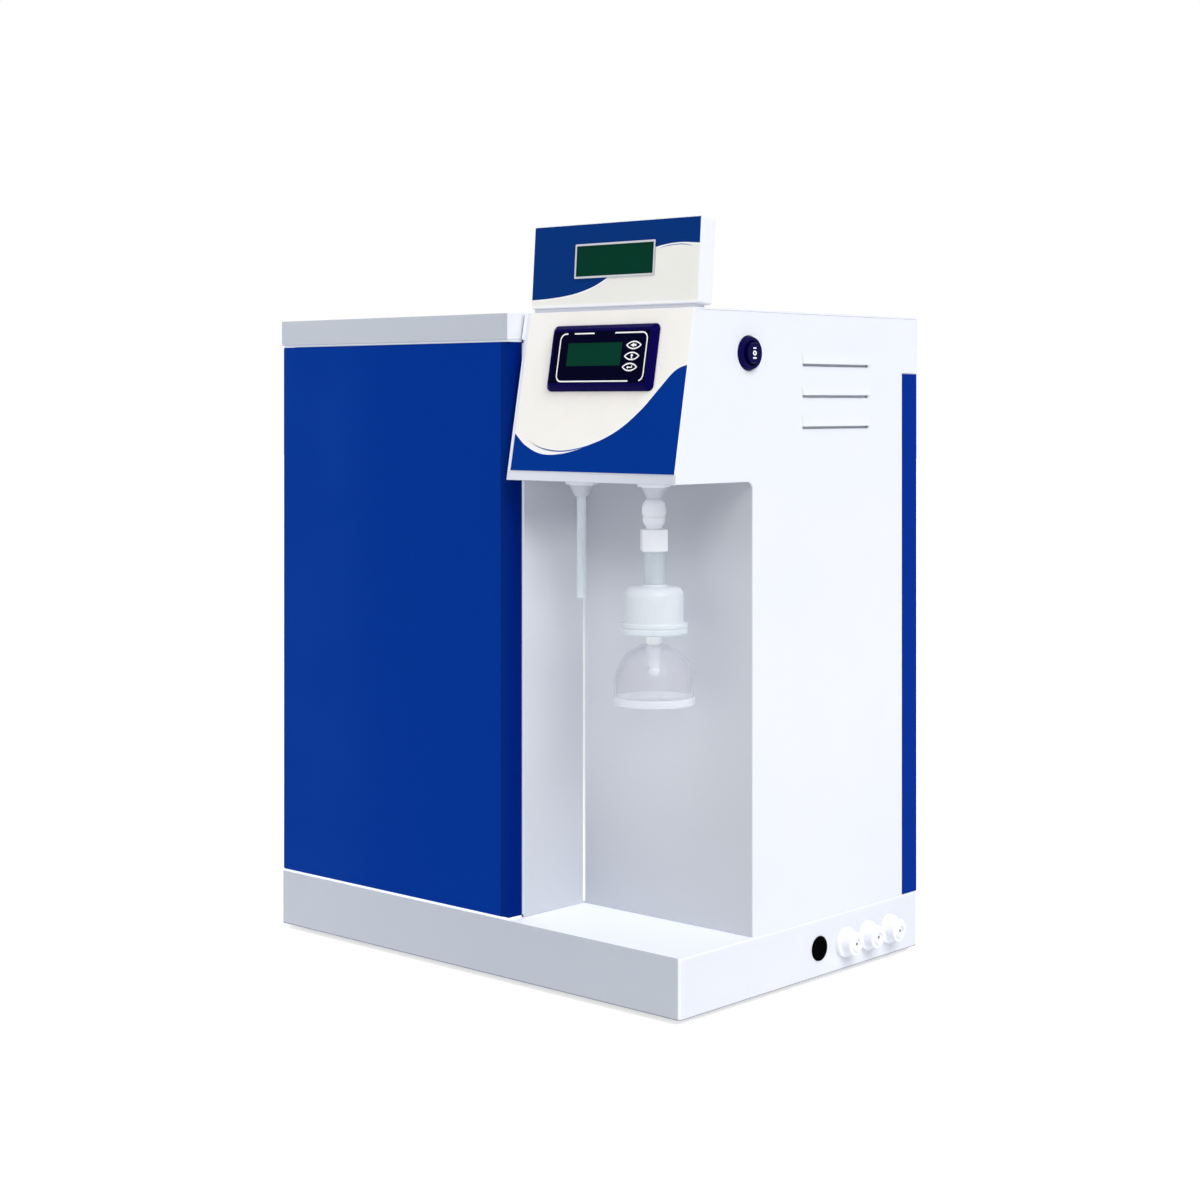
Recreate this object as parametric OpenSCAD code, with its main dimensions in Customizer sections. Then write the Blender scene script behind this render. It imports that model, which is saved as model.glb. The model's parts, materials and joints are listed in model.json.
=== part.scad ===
// Bench-top ultrapure water system: a sheet-metal cabinet with a cartridge bay behind a
// pivoting door, a dispensing alcove, a leaning control head and a display on top.
// +X is to the right, +Y to the rear, +Z up. The origin is at the bottom centre.

/* [Cabinet] */
// Width of the cabinet
cabinet_w = 400; // [390:1:440]
// Depth of the cabinet
cabinet_d = 270; // [262:1:300]
// Height of the cabinet from the underside of the plinth
cabinet_h = 460.6; // [452:0.1:500]
// Thickness of the sheet metal
sheet = 1.5; // [1.2:0.1:1.8]
// Height of the plinth
plinth_h = 40; // [38:1:46]
// Radius of the upright corners of the plinth
plinth_r = 3; // [2.5:0.5:6]
// Width of the flange that turns in under the plinth
plinth_flange = 46; // [44:1:50]
// Height of the front skirt of the top cover
cap_h = 18.6; // [16:0.1:24]
// Depth of the rear cover
rear_t = 20; // [18:1:24]
// Radius of the upright corners of the rear cover
rear_r = 2; // [2:0.5:6]
// Height of the white band above the rear cover
rear_band = 40.8; // [36:0.1:46]
// Gap between the rear cover and the sheets round it
rear_gap = 0.4; // [0.3:0.1:0.8]

/* [Feet] */
// Radius of a rubber foot
foot_r = 13; // [11:0.5:14]
// Height of a rubber foot
foot_h = 4; // [3.5:0.5:6]
// Distance of a foot's axis from the edges of the plinth
foot_inset = 30; // [28:0.5:31]

/* [Door] */
// Gap between the door and the alcove
door_side = 2; // [1.6:0.1:3]
// Thickness of the door
door_t = 13; // [12:0.5:14]
// Set-back of the door from the front of the plinth
door_set = 1.2; // [0.8:0.1:2]
// Gap above and below the door
door_gap = 1.5; // [1.3:0.1:2]
// Radius of the door's upright front corner beside the alcove
door_r = 8; // [6:0.5:9]
// Radius of the door's upright front corner at the hinge
door_left_r = 2; // [1.5:0.5:3]
// Radius of the door's outline at its two corners at the hinge, seen from the front
door_corner_r = 3; // [1:0.5:3]
// Thickness of the door's sheets
door_sheet = 1.2; // [1:0.1:1.5]
// Radius of a pivot pin
pivot_r = 2.5; // [2:0.1:2.8]
// Running clearance of a pivot pin in its bush
pivot_clear = 0.07; // [0.04:0.01:0.09]
// Width of a pivot block
pivot_block = 9.6; // [8.6:0.2:11]

/* [Alcove] */
// Width of the dispensing alcove
alcove_w = 154.4; // [152:0.2:162]
// Depth of the alcove behind the front of the plinth
alcove_d = 76; // [70:1:84]
// Radius of the upper corner of the opening in the right side panel
alcove_r = 6; // [3:0.5:10]

/* [Control head] */
// Width of the control head
head_w = 151.4; // [149:0.1:152]
// Height of the control head below the roof
head_h = 115.1; // [110:0.1:120]
// Lean of the head's front face in degrees
head_lean = 10.5; // [8:0.5:12]
// Overhang of the head's lower edge in front of the plinth
head_overhang = 6; // [4:0.5:9]
// Bare lip under the fascia overlay
fascia_lip = 6.5; // [5:0.5:9]
// Bare edge beside the fascia overlay
fascia_edge = 3.4; // [2:0.1:5]
// Thickness of the fascia overlay
fascia_t = 0.6; // [0.4:0.1:1]

/* [Panel meter] */
// Width of the meter's bezel
meter_w = 95.5; // [95:0.5:99]
// Height of the meter's bezel
meter_h = 45.5; // [44:0.5:48]
// Height of the bezel above the overlay
meter_proud = 4.5; // [4:0.1:6]
// Width of the bezel's chamfer
meter_chamfer = 3.2; // [2:0.1:3.6]
// Corner radius of the bezel
meter_r = 4; // [3.6:0.2:5]
// Height of the meter's centre up the leaning face
meter_up = 84; // [80:0.5:86]
// Offset of the meter's centre to the right of the head's middle
meter_right = 1.1; // [0:0.1:1.6]
// Depth of the meter's case behind the face
meter_deep = 60; // [50:1:66]
// Width of the meter's window
window_w = 49.2; // [44:0.1:50]
// Height of the meter's window
window_h = 16; // [14:0.5:18]
// Offset of the window to the left of the meter's centre
window_left = 5; // [3:0.5:6]
// Height of the window's centre above the meter's centre
window_up = 1.9; // [0:0.1:2.4]
// Height of the middle key above the meter's centre
panel_up = 0.1; // [0:0.1:1.5]
// Length of a key
key_w = 14; // [12:0.5:15]
// Height of a key
key_h = 6; // [5.6:0.1:6.2]
// Distance from key to key
key_pitch = 7.4; // [7.2:0.1:7.8]
// Offset of the column of keys to the right of the meter's centre
key_right = 30.4; // [29.5:0.1:31]
// Sideways step from one key to the next
key_step = 0.8; // [0:0.1:1.2]
// Travel of a key
key_travel = 0.5; // [0.4:0.05:0.6]
// Gap round a key
key_gap = 0.3; // [0.3:0.02:0.36]

/* [Display] */
// Width of the display case
display_w = 151; // [148:0.5:154]
// Height of the display case
display_h = 57.5; // [54:0.5:62]
// Thickness of the display case
display_t = 14.5; // [12.5:0.5:16]
// Lean of the display in degrees
display_lean = 4; // [2:0.5:6]
// Set-back of the display's lower front edge
display_y = 18.1; // [16.5:0.1:22]
// Gap between the roof and the display's lower front edge
display_gap = 2.7; // [1.6:0.1:5]
// Width of the display's window
lcd_w = 70.6; // [68:0.2:76]
// Height of the display's window
lcd_h = 22; // [20:0.1:26]
// Distance of the window's centre from the display's right edge
lcd_right = 74.6; // [70:0.2:78]
// Height of the window's centre above the display's lower edge
lcd_up = 31.6; // [29:0.2:34]
// Width of the silver frame round the window
lcd_frame = 1.5; // [1.4:0.1:2.4]

/* [Outlets] */
// Distance of the outlets' axes behind the front of the plinth
outlet_y = 36.8; // [34:0.2:40]
// Distance of the left outlet from the right side
left_outlet = 120.5; // [116:0.5:124]
// Distance of the right outlet from the right side
right_outlet = 54; // [50:0.5:60]
// Outer radius of the sample tube
tube_r = 3.175; // [3:0.025:3.3]
// Bore radius of the sample tube
tube_bore = 2.15; // [1.8:0.05:2.3]
// Length of the sample tube that hangs out
tube_len = 70.5; // [50:0.5:90]
// Radius of a fitting's flange
flange_r = 11; // [10:0.1:12]
// Outer radius of the soft inlet tube of the filter
soft_r = 6.9; // [6.6:0.1:7.4]
// Radius of the filter capsule
capsule_r = 20.1; // [19:0.1:22]
// Height of the filter capsule above its rim
capsule_h = 28.7; // [24:0.1:30]
// Wall of the filter capsule
capsule_wall = 1.6; // [1.4:0.1:2]
// Radius of the capsule's rim
rim_r = 22.8; // [22:0.1:24.5]
// Radius of the filling bell
bell_r = 27; // [25:0.5:30]
// Wall of the filling bell
bell_wall = 1.5; // [1.2:0.1:1.8]
// Length of the bell's straight skirt
bell_skirt = 14; // [12:0.5:18]

/* [Side fittings] */
// Distance of the rocker switch from the front of the plinth
switch_y = 71; // [68:0.2:80]
// Distance of the rocker switch below the roof
switch_down = 29.1; // [26:0.1:34]
// Radius of the switch's bezel
switch_r = 12; // [11.5:0.1:13]
// Tilt of the rocker either way in degrees
rocker_tilt = 10; // [8:0.5:12]
// Length of a louvre
louvre_w = 78.5; // [70:0.5:90]
// Front end of the louvres
louvre_y = 129.8; // [126:0.2:134]
// Number of louvres
louvre_n = 3; // [2:1:3]
// Distance of the first louvre below the roof
louvre_down = 35.4; // [35:0.1:42]
// Distance from louvre to louvre
louvre_pitch = 21.6; // [19:0.1:23]
// Height of the slot that shows under a louvre's hood
louvre_mouth = 1.6; // [1.2:0.1:2.4]
// Distance of the cable entry from the front of the plinth
entry_y = 149.4; // [146:0.2:152]
// Bore radius of the cable entry's grommet
entry_bore = 5.5; // [4:0.1:6]
// Outer radius of the cable entry's grommet
entry_r = 8.7; // [8.4:0.1:10]
// Distance of the first port from the front of the plinth
port_y = 179; // [178:0.2:181]
// Distance from port to port
port_pitch = 26.5; // [25.5:0.1:27.5]
// Height of the ports above the underside of the plinth
port_z = 19; // [17:0.2:19]
// Reach of a port outside the cabinet
port_reach = 12; // [11:0.5:16]
// Bore radius of a port
port_bore = 3.25; // [3:0.05:3.5]
// Radius of a port's flange
port_r = 10.5; // [10:0.1:11]

/* [Cartridge bay] */
// Depth of the bay behind the door
bay_d = 120; // [112:1:126]
// Number of pretreatment cartridges
cartridge_n = 3; // [3:1:3]
// Radius of a cartridge
cartridge_r = 28; // [25:0.5:29]
// Gap between the membrane housing and the cartridges over it
cartridge_over = 41; // [34:1:56]
// Radius of a cartridge's neck
neck_r = 15; // [13:0.5:17]
// Distance from cartridge to cartridge
cartridge_pitch = 66; // [62:0.5:68]
// Radius of the membrane housing
membrane_r = 31; // [28:0.5:32]
// Gap between the left side panel and the membrane housing
membrane_left = 9.3; // [8:0.1:12]
// Gap between the membrane housing's port and the alcove's wall
membrane_right = 21.3; // [18:0.1:24]
// Radius of the two upright columns behind the alcove
column_r = 22; // [19:0.5:23]
// Length of the two upright columns
column_h = 280; // [250:1:285]

/* [Hidden] */
$fn = 48;
eps = 0.01;

x_left = -cabinet_w / 2;
x_right = cabinet_w / 2;
alcove_x = x_right - alcove_w;
head_x = x_right - head_w;
head_z = cabinet_h - head_h;
roof_z = cabinet_h - sheet;
cap_z = cabinet_h - cap_h;
rear_z = cabinet_h - rear_band;
rear_y = cabinet_d - rear_t;
inner_left = x_left + sheet;
inner_right = x_right - sheet;

// the leaning face
face_len = (cabinet_h - head_z) / cos(head_lean);
face_top_y = -head_overhang + (roof_z - head_z) * tan(head_lean);
face_thick_y = sheet / cos(head_lean);
roof_front_y = face_top_y + face_thick_y;
fascia_in = 0.4;

// the door and its pivots
door_z = plinth_h + door_gap;
door_h = cap_z - door_gap - door_z;
door_back = door_set + door_t;
door_right = alcove_x - door_side;
door_w = door_right - x_left;
pivot_free = 0.6;
pivot_x = x_left + door_sheet + pivot_free + pivot_block / 2;
pivot_deep = 5.6;
pivot_y = door_back - door_sheet - pivot_deep / 2;
pivot_block_h = 16;
bush_wall = 1.5;
bush_r = pivot_r + pivot_clear + bush_wall;
bush_flange_r = bush_r + 0.8;
bush_flange_t = door_gap - 0.3;
panel_free = 0.8;
head_back = door_back + 8;
panel_front = pivot_y + pivot_x - x_left + panel_free;
bracket_t = 2;
bracket_z = cap_z + bush_flange_t;

// the side panels' tabs on the plinth
tab_in = 20;
tab_w = 10;

// the feet's screws and nuts
foot_screw_r = 2;
foot_screw_head_r = 4;
foot_screw_head_h = 1.6;
foot_screw_up = 5;
foot_bore = 2.4;
foot_well_r = 6;
foot_seat = 1.5;
foot_nut_r = 4.2;
foot_nut_h = 3.4;
thread_clear = 0.05;

// the catch
catch_w = 9;
catch_deep = 18;
catch_h = 40;
strike_t = 0.8;
catch_gap = 0.3;
catch_z = cabinet_h / 2;

// the bay
bay_y = door_back + bay_d;
bay_x = (inner_left + alcove_x - sheet) / 2;
cartridge_y = bay_y - cartridge_r - 8;
neck_h = 10;
neck_clear = 0.15;
manifold_h = 28;
manifold_z = cap_z - 24 - manifold_h;
manifold_wall = 6;
membrane_under = 11;
membrane_z = plinth_h + membrane_r + membrane_under;
cartridge_h = manifold_z - membrane_z - membrane_r - cartridge_over;
membrane_y = bay_y - membrane_r - 5;
membrane_x = inner_left + membrane_left;
membrane_port = 8;
membrane_h = alcove_x - sheet - membrane_right - membrane_port - membrane_x;
membrane_cap_h = 16;
clip_t = 12;
clip_in = 30;
clip_tall = 28;
clip_wall = 3;
clip_clear = 0.1;
column_y = (alcove_d + sheet + bay_y) / 2;
column_z = plinth_h + 14;

// the outlets
outlet_x = [x_right - left_outlet, x_right - right_outlet];
stem_r = 6.5;
stem_clear = 0.2;
stem_up = 12;
outlet_nut_r = 10;
outlet_nut_h = 5;
valve_w = 24;
valve_h = 14;
valve_neck_r = 6;
valve_neck_h = 3;
coil_w = 26;
coil_h = 17;
fitting_h = 12;
socket_deep = 9;
fit_clear = 0.06;
cone_r = 4.8;
connector_z = head_z - fitting_h;
connector_r = 8.2;
connector_h = 20.2;
nut_z = connector_z - connector_h;
nut_h = 14.9;
nut_turn = 12;
nut_r = 10;
soft_wall = 1.9;
soft_bore = soft_r - soft_wall;
plug_in = 8;
soft_h = 22.1;
soft_z = nut_z - nut_h;
capsule_z = soft_z - soft_h;
rim_z = capsule_z - capsule_h;
rim_h = 6;
base_z = rim_z - rim_h;
nozzle_r = 5.3;
nozzle_bore = 2;
nozzle_h = 27;
nozzle_wide = 11.4;
collar_h = 5;
bell_seat_r = nozzle_r - 0.6;
bell_clear = 0.1;
bell_flat = 0.35;
bell_mid = base_z - collar_h - bell_r + bell_flat;
bell_inner_r = bell_r - bell_wall;
bell_seat_h = bell_r - bell_flat - sqrt(pow(bell_inner_r, 2) - pow(bell_seat_r + bell_clear, 2)) + bell_clear;
bell_rim_h = 5;
bell_rim_out = 0.4;

// the meter, in the plane of the leaning face
meter_x = head_w / 2 + meter_right;
case_w = 89;
case_h = 39;
case_gap = 0.8;
case_wall = 1.6;
film_t = 0.8;
film_z = fascia_t + meter_proud - film_t;
film_w = meter_w - 2 * meter_chamfer - 4;
film_h = meter_h - 2 * meter_chamfer - 4;
front_t = 1.4;
window_z = film_z - front_t;
key_proud = 0.4;
key_foot = 0.8;
key_stub = 3.7;

// the display
display_x = x_right - display_w;
display_z = cabinet_h + display_gap;
display_plate = 1.5;
display_film = 0.4;
gasket_left = 1.5;
gasket_right = 4;

// the switch
switch_z = cabinet_h - switch_down;
switch_body_r = switch_r - 2;
switch_deep = 22;
switch_proud = 3;
rocker_r = 7.4;
rocker_round = 8.2;
rocker_proud = 5.2;
rocker_gap = 0.5;
rocker_edge = sqrt(pow(rocker_round, 2) - pow(rocker_r, 2));
rocker_well = rocker_r * cos(rocker_tilt) + rocker_edge * sin(rocker_tilt) + rocker_gap;
rocker_pin_r = 1.2;
rocker_pin_end = 8.9;

// the side fittings
hood_out = 2.2;
hood_h = 9;
port_stem_r = 7;
port_in = 16;
entry_z = port_z + 0.6;

// the rear cover's inner frame and its two columns of slots
rear_frame = 30;
vent_x = 60;
vent_w = 70;
vent_h = 4;
vent_n = 6;
vent_pitch = 12;
vent_down = 60;

// the pump, the power supply and the control board behind the mounting panel
pump_x = inner_left + 30;
pump_plate_d = 60;
pump_plate_t = 4;
pump_plate_in = 10;
motor_r = 30;
motor_len = 96;
motor_axis = 42;
saddle_w = 20;
saddle_d = 28;
saddle_h = 12;
pump_ring_r = 34;
pump_ring_t = 8;
pump_head_w = 26;
pump_head_h = 56;
supply_w = 70;
supply_h = 46;
supply_right = 80;
supply_front = 12;
supply_back = 4;
board_w = 130;
board_h = 100;
board_t = 1.6;
board_x = x_right - 60 - board_w;
board_z = head_z - 30 - board_h;
post_r = 3;
post_h = 8;
post_in = 6;
relay = [40, 14.4, 30];
transformer = [30, 18.4, 25];
plug = [20, 12, 30];

// the part's box, which places the origin at its bottom centre
screw_head_h = 1.6;
low = [x_left, -head_overhang, -foot_h];
high = [x_right + port_reach, cabinet_d + screw_head_h, 0];
shift = [-(low.x + high.x) / 2, -(low.y + high.y) / 2, -low.z];

// ---- helpers ----

module placed() {
  translate(shift) children();
}

// a rectangle with its first corner at the origin and round corners
module round_rect(w, h, r) {
  translate([r, 0]) square([w - 2 * r, h]);
  translate([0, r]) square([w, h - 2 * r]);
  for (x = [r, w - r]) {
    for (y = [r, h - r]) {
      translate([x, y]) circle(r);
    }
  }
}

// a rectangle in plan whose two corners at y = 0 are round
module round_front(w, d, left_r, right_r) {
  translate([left_r, 0]) square([w - left_r - right_r, d]);
  for (corner = [[left_r, left_r], [w - right_r, right_r]]) {
    r = corner.y;
    intersection() {
      translate(corner) circle(r);
      square([w, d]);
    }
    translate([corner.x < w / 2 ? 0 : w - r, r]) square([r, d - r]);
  }
}

// an outline drawn in Y and Z, made a sheet from x to x + t
module sheet_yz(x, t = sheet) {
  translate([x, 0, 0]) rotate([90, 0, 90]) linear_extrude(t) children();
}

module box(from, to) {
  translate(from) cube(to - from);
}

// x across, y up the slope and z out of the leaning face, from its lower left corner
module on_face() {
  translate([head_x, -head_overhang, head_z]) rotate([90 - head_lean, 0, 0]) children();
}

// the same on the front of the display
module on_display() {
  translate([display_x, display_y, display_z]) rotate([90 - display_lean, 0, 0]) children();
}

module at_meter() {
  on_face() translate([meter_x, meter_up, 0]) children();
}

module centred(w, h, r) {
  translate([-w / 2, -h / 2]) round_rect(w, h, r);
}

module ring(r, bore, h) {
  difference() {
    cylinder(r = r, h = h);
    translate([0, 0, -1]) cylinder(r = bore, h = h + 2);
  }
}

module hex(r, bore, h) {
  difference() {
    cylinder(r = r, h = h, $fn = 6);
    translate([0, 0, -1]) cylinder(r = bore, h = h + 2);
  }
}

module at_feet() {
  for (x = [x_left + foot_inset, x_right - foot_inset]) {
    for (y = [foot_inset, cabinet_d - foot_inset]) {
      translate([x, y, 0]) children();
    }
  }
}

// along +X, with z = 0 at the outer face of the right side panel
module at_side(y, z) {
  translate([x_right, y, z]) rotate([0, 90, 0]) children();
}

module at_ports() {
  for (i = [0:2]) {
    at_side(port_y + i * port_pitch, port_z) children();
  }
}

// ---- cabinet ----

module base_tray() {
  color("whitesmoke") placed() difference() {
    translate([x_left, 0, 0]) linear_extrude(plinth_h) round_rect(cabinet_w, cabinet_d, plinth_r);
    translate([x_left + sheet, sheet, sheet]) linear_extrude(plinth_h - 2 * sheet)
      round_rect(cabinet_w - 2 * sheet, cabinet_d - 2 * sheet, plinth_r - sheet);
    box([x_left + plinth_flange, plinth_flange, -1],
        [x_right - plinth_flange, cabinet_d - plinth_flange, sheet + 1]);
    at_feet() translate([0, 0, -1]) cylinder(r = foot_bore, h = sheet + 2);
    at_ports() translate([0, 0, -sheet - 1]) cylinder(r = port_stem_r + 0.2, h = sheet + 2);
    at_side(entry_y, entry_z) translate([0, 0, -sheet - 1]) cylinder(r = entry_bore + 2, h = sheet + 2);
    translate([pivot_x, pivot_y, plinth_h - sheet - 1]) cylinder(r = bush_r + 0.05, h = sheet + 2);
    translate([x_right - 60, rear_y - 60, plinth_h - sheet - 1]) cylinder(r = 14, h = sheet + 2);
  }
}

module rubber_feet() {
  color("#26262a") placed() at_feet() translate([0, 0, -foot_h]) difference() {
    cylinder(r = foot_r, h = foot_h);
    translate([0, 0, -1]) cylinder(r = foot_well_r, h = foot_h - foot_seat + 1);
    cylinder(r = foot_screw_r + 0.2, h = foot_h + 1);
  }
}

module foot_screws() {
  color("silver") placed() at_feet() {
    translate([0, 0, -foot_seat - foot_screw_head_h]) cylinder(r = foot_screw_head_r, h = foot_screw_head_h);
    translate([0, 0, -foot_seat]) cylinder(r = foot_screw_r, h = foot_seat + sheet + foot_screw_up);
  }
}

module foot_nuts() {
  color("silver") placed() at_feet() translate([0, 0, sheet])
    hex(foot_nut_r, foot_screw_r + thread_clear, foot_nut_h);
}

module left_side_panel() {
  color("white") placed() {
    sheet_yz(x_left) polygon([
      [panel_front, plinth_h], [panel_front, cap_z],
      [cabinet_d - sheet, cap_z], [cabinet_d - sheet, rear_z],
      [rear_y, rear_z], [rear_y, plinth_h]
    ]);
    box([inner_left - eps, bay_y + tab_in, plinth_h],
        [inner_left + tab_w, rear_y - sheet, plinth_h + sheet]);
  }
}

// a hood pressed out of the side panel, drawn outwards and up, with its mouth at the bottom
module louvre_hood() {
  translate([x_right, louvre_y + louvre_w, 0]) rotate([90, 0, 0]) linear_extrude(louvre_w)
    polygon([[-eps, 0], [hood_out, 0], [hood_out, 0.8], [-eps, hood_h]]);
}

module louvre_slot() {
  translate([x_right, louvre_y + louvre_w - 1, 0]) rotate([90, 0, 0]) linear_extrude(louvre_w - 2)
    polygon([
      [-sheet - 1, -louvre_mouth], [hood_out - 0.8, -louvre_mouth], [hood_out - 0.8, 0.4],
      [0, hood_h - 3], [-sheet - 1, hood_h - 3]
    ]);
}

module at_louvres() {
  for (i = [0:louvre_n - 1]) {
    translate([0, 0, cabinet_h - louvre_down - i * louvre_pitch]) children();
  }
}

module right_outline() {
  polygon([
    [-head_overhang + face_thick_y, head_z], [roof_front_y, roof_z],
    [cabinet_d - sheet, roof_z], [cabinet_d - sheet, rear_z],
    [rear_y, rear_z], [rear_y, plinth_h], [alcove_d, plinth_h], [alcove_d, head_z]
  ]);
  difference() {
    translate([alcove_d - alcove_r, head_z - alcove_r]) square(alcove_r);
    translate([alcove_d - alcove_r, head_z - alcove_r]) circle(alcove_r);
  }
}

module right_side_panel() {
  color("ghostwhite") placed() {
    difference() {
      union() {
        sheet_yz(inner_right) right_outline();
        at_louvres() louvre_hood();
      }
      at_louvres() louvre_slot();
      at_side(switch_y, switch_z) translate([0, 0, -sheet - 1])
        cylinder(r = switch_body_r + 0.2, h = sheet + 2);
    }
    box([inner_right - tab_w, bay_y + tab_in, plinth_h],
        [inner_right + eps, rear_y - sheet, plinth_h + sheet]);
  }
}

module top_cover() {
  color("white") placed() {
    box([x_left, 0, roof_z], [door_right, cabinet_d, cabinet_h]);
    sheet_yz(door_right - eps, x_right - door_right + eps) polygon([
      [roof_front_y, roof_z], [roof_front_y + sheet * tan(head_lean), cabinet_h],
      [cabinet_d, cabinet_h], [cabinet_d, roof_z]
    ]);
    box([x_left, 0, cap_z], [door_right, sheet, roof_z + eps]);
    box([x_left, 0, cap_z], [inner_left, cabinet_d, roof_z + eps]);
    box([door_right - sheet, 0, cap_z], [door_right, head_back, roof_z + eps]);
    box([x_left, cabinet_d - sheet, rear_z], [x_right, cabinet_d, roof_z + eps]);
  }
}

module rear_panel() {
  color("gainsboro") placed() difference() {
    union() {
      box([inner_left, rear_y - sheet, plinth_h], [inner_right, rear_y, rear_z + sheet]);
      box([inner_left, rear_y - sheet, rear_z], [inner_right, cabinet_d - sheet, rear_z + sheet]);
    }
    at_rear_screws() screw_hole();
  }
}

module rear_outline(inset) {
  translate([x_left + inset, cabinet_d - inset]) mirror([0, 1])
    round_front(cabinet_w - 2 * inset, rear_t - inset, rear_r - inset, rear_r - inset);
}

module rear_cover() {
  bottom = plinth_h + rear_gap;
  tall = rear_z - rear_gap - bottom;
  color("#123c9c") placed() difference() {
    translate([0, 0, bottom]) linear_extrude(tall) rear_outline(0);
    translate([0, 0, bottom + sheet]) linear_extrude(tall - 2 * sheet) difference() {
      rear_outline(sheet);
      translate([x_left, rear_y - 1]) square([cabinet_w, 1 + sheet]);
    }
    box([x_left + rear_frame, rear_y - 1, bottom + rear_frame],
        [x_right - rear_frame, rear_y + sheet + 1, bottom + tall - rear_frame]);
    for (x = [-vent_x, vent_x]) {
      for (i = [0:vent_n - 1]) {
        translate([x - vent_w / 2, cabinet_d - sheet - 1, bottom + tall - vent_down - i * vent_pitch])
          cube([vent_w, sheet + 2, vent_h]);
      }
    }
    at_rear_screws() screw_hole();
  }
}

module screw_hole() {
  translate([0, 0, -rear_t - 6]) cylinder(r = 2.2, h = rear_t + 7);
}

// pointing to the rear, with z = 0 at the back of the rear cover
module at_rear_screws() {
  for (x = [x_left + 26, 0, x_right - 26]) {
    for (z = [plinth_h + 16, rear_z - 16]) {
      translate([x, cabinet_d, z]) rotate([-90, 0, 0]) children();
    }
  }
}

module rear_screws() {
  color("silver") placed() at_rear_screws() difference() {
    union() {
      cylinder(r = 3.6, h = screw_head_h);
      translate([0, 0, -rear_t - 4]) cylinder(r = 2, h = rear_t + 4 + eps);
    }
    translate([-2.2, -0.35, screw_head_h - 0.8]) cube([4.4, 0.7, 1]);
    translate([-0.35, -2.2, screw_head_h - 0.8]) cube([0.7, 4.4, 1]);
  }
}

module alcove_liner() {
  color("gainsboro") placed() {
    box([alcove_x - sheet, door_back + 0.6, plinth_h], [alcove_x, alcove_d + sheet, cap_z]);
    box([alcove_x - sheet, head_back, cap_z - eps], [alcove_x, alcove_d + sheet, roof_z]);
    box([alcove_x - eps, alcove_d, plinth_h], [inner_right, alcove_d + sheet, head_z]);
    box([alcove_x + 10, alcove_d, plinth_h], [inner_right, alcove_d + 12, plinth_h + sheet]);
  }
}

module mounting_panel() {
  color("lightgray") placed() difference() {
    box([inner_left, bay_y, plinth_h], [inner_right, bay_y + sheet, cap_z - 4]);
    translate([alcove_x, bay_y - 1, cap_z - 40]) cube([30, sheet + 2, 16]);
  }
}

// ---- door ----

module upper_hinge_bracket() {
  color("silver") placed() difference() {
    union() {
      box([inner_left, sheet + 1, bracket_z], [inner_left + 18, 40, bracket_z + bracket_t]);
      box([inner_left, 20, bracket_z], [inner_left + bracket_t, 40, bracket_z + 10]);
    }
    translate([pivot_x, pivot_y, bracket_z - 1]) cylinder(r = bush_r + 0.05, h = bracket_t + 2);
  }
}

module bush(deep) {
  difference() {
    union() {
      cylinder(r = bush_flange_r, h = bush_flange_t);
      translate([0, 0, -deep]) cylinder(r = bush_r, h = deep + eps);
    }
    translate([0, 0, -deep - 1]) cylinder(r = pivot_r + pivot_clear, h = deep + bush_flange_t + 2);
  }
}

module pivot_bushes() {
  color("ivory") placed() {
    translate([pivot_x, pivot_y, plinth_h]) bush(sheet + 3);
    translate([pivot_x, pivot_y, bracket_z]) mirror([0, 0, 1]) bush(bracket_t + 3);
  }
}

module magnet_catch() {
  color("#303034") placed()
    translate([alcove_x - sheet - catch_w, door_back + strike_t + catch_gap, catch_z])
    cube([catch_w, catch_deep, catch_h]);
}

module door_outline(inset) {
  translate([x_left + inset, door_set + inset])
    round_front(door_w - 2 * inset, door_t - inset, door_left_r - inset, door_r - inset);
}

// what the door loses at a corner whose point is the origin, x and y along its edges
module door_corner() {
  difference() {
    translate([-1, -1]) square(door_corner_r + 1);
    translate([door_corner_r, door_corner_r]) circle(door_corner_r);
  }
}

module at_door_corners() {
  translate([x_left, door_back + 1, door_z]) rotate([90, 0, 0]) children();
  translate([x_left, door_back + 1, door_z + door_h]) mirror([0, 0, 1]) rotate([90, 0, 0]) children();
}

module door_skin() {
  color("#0a3596") placed() difference() {
    translate([0, 0, door_z]) linear_extrude(door_h) door_outline(0);
    translate([0, 0, door_z + door_sheet]) linear_extrude(door_h - 2 * door_sheet) union() {
      door_outline(door_sheet);
      translate([x_left + door_sheet, door_back - 2]) square([door_w - 2 * door_sheet, 3]);
    }
    translate([pivot_x, pivot_y, door_z - 1]) cylinder(r = pivot_r + 0.1, h = door_h + 2);
    at_door_corners() linear_extrude(door_t + 2) door_corner();
  }
}

module door_liner() {
  color("gainsboro") placed()
    box([x_left + door_sheet, door_back - door_sheet, door_z + door_sheet],
        [door_right - door_sheet, door_back, door_z + door_h - door_sheet]);
}

module door_pivot() {
  translate([-pivot_block / 2, -pivot_deep / 2, door_sheet]) cube([pivot_block, pivot_deep, pivot_block_h]);
  translate([0, 0, -door_gap - sheet - 2]) cylinder(r = pivot_r, h = door_gap + sheet + 2 + door_sheet + 4);
}

module door_pivots() {
  color("silver") placed() {
    translate([pivot_x, pivot_y, door_z]) door_pivot();
    translate([pivot_x, pivot_y, door_z + door_h]) mirror([0, 0, 1]) door_pivot();
  }
}

module strike_plate() {
  color("silver") placed() translate([alcove_x - sheet - catch_w - 2, door_back, catch_z])
    cube([catch_w - 0.5, strike_t, catch_h]);
}

// ---- control head ----

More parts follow.
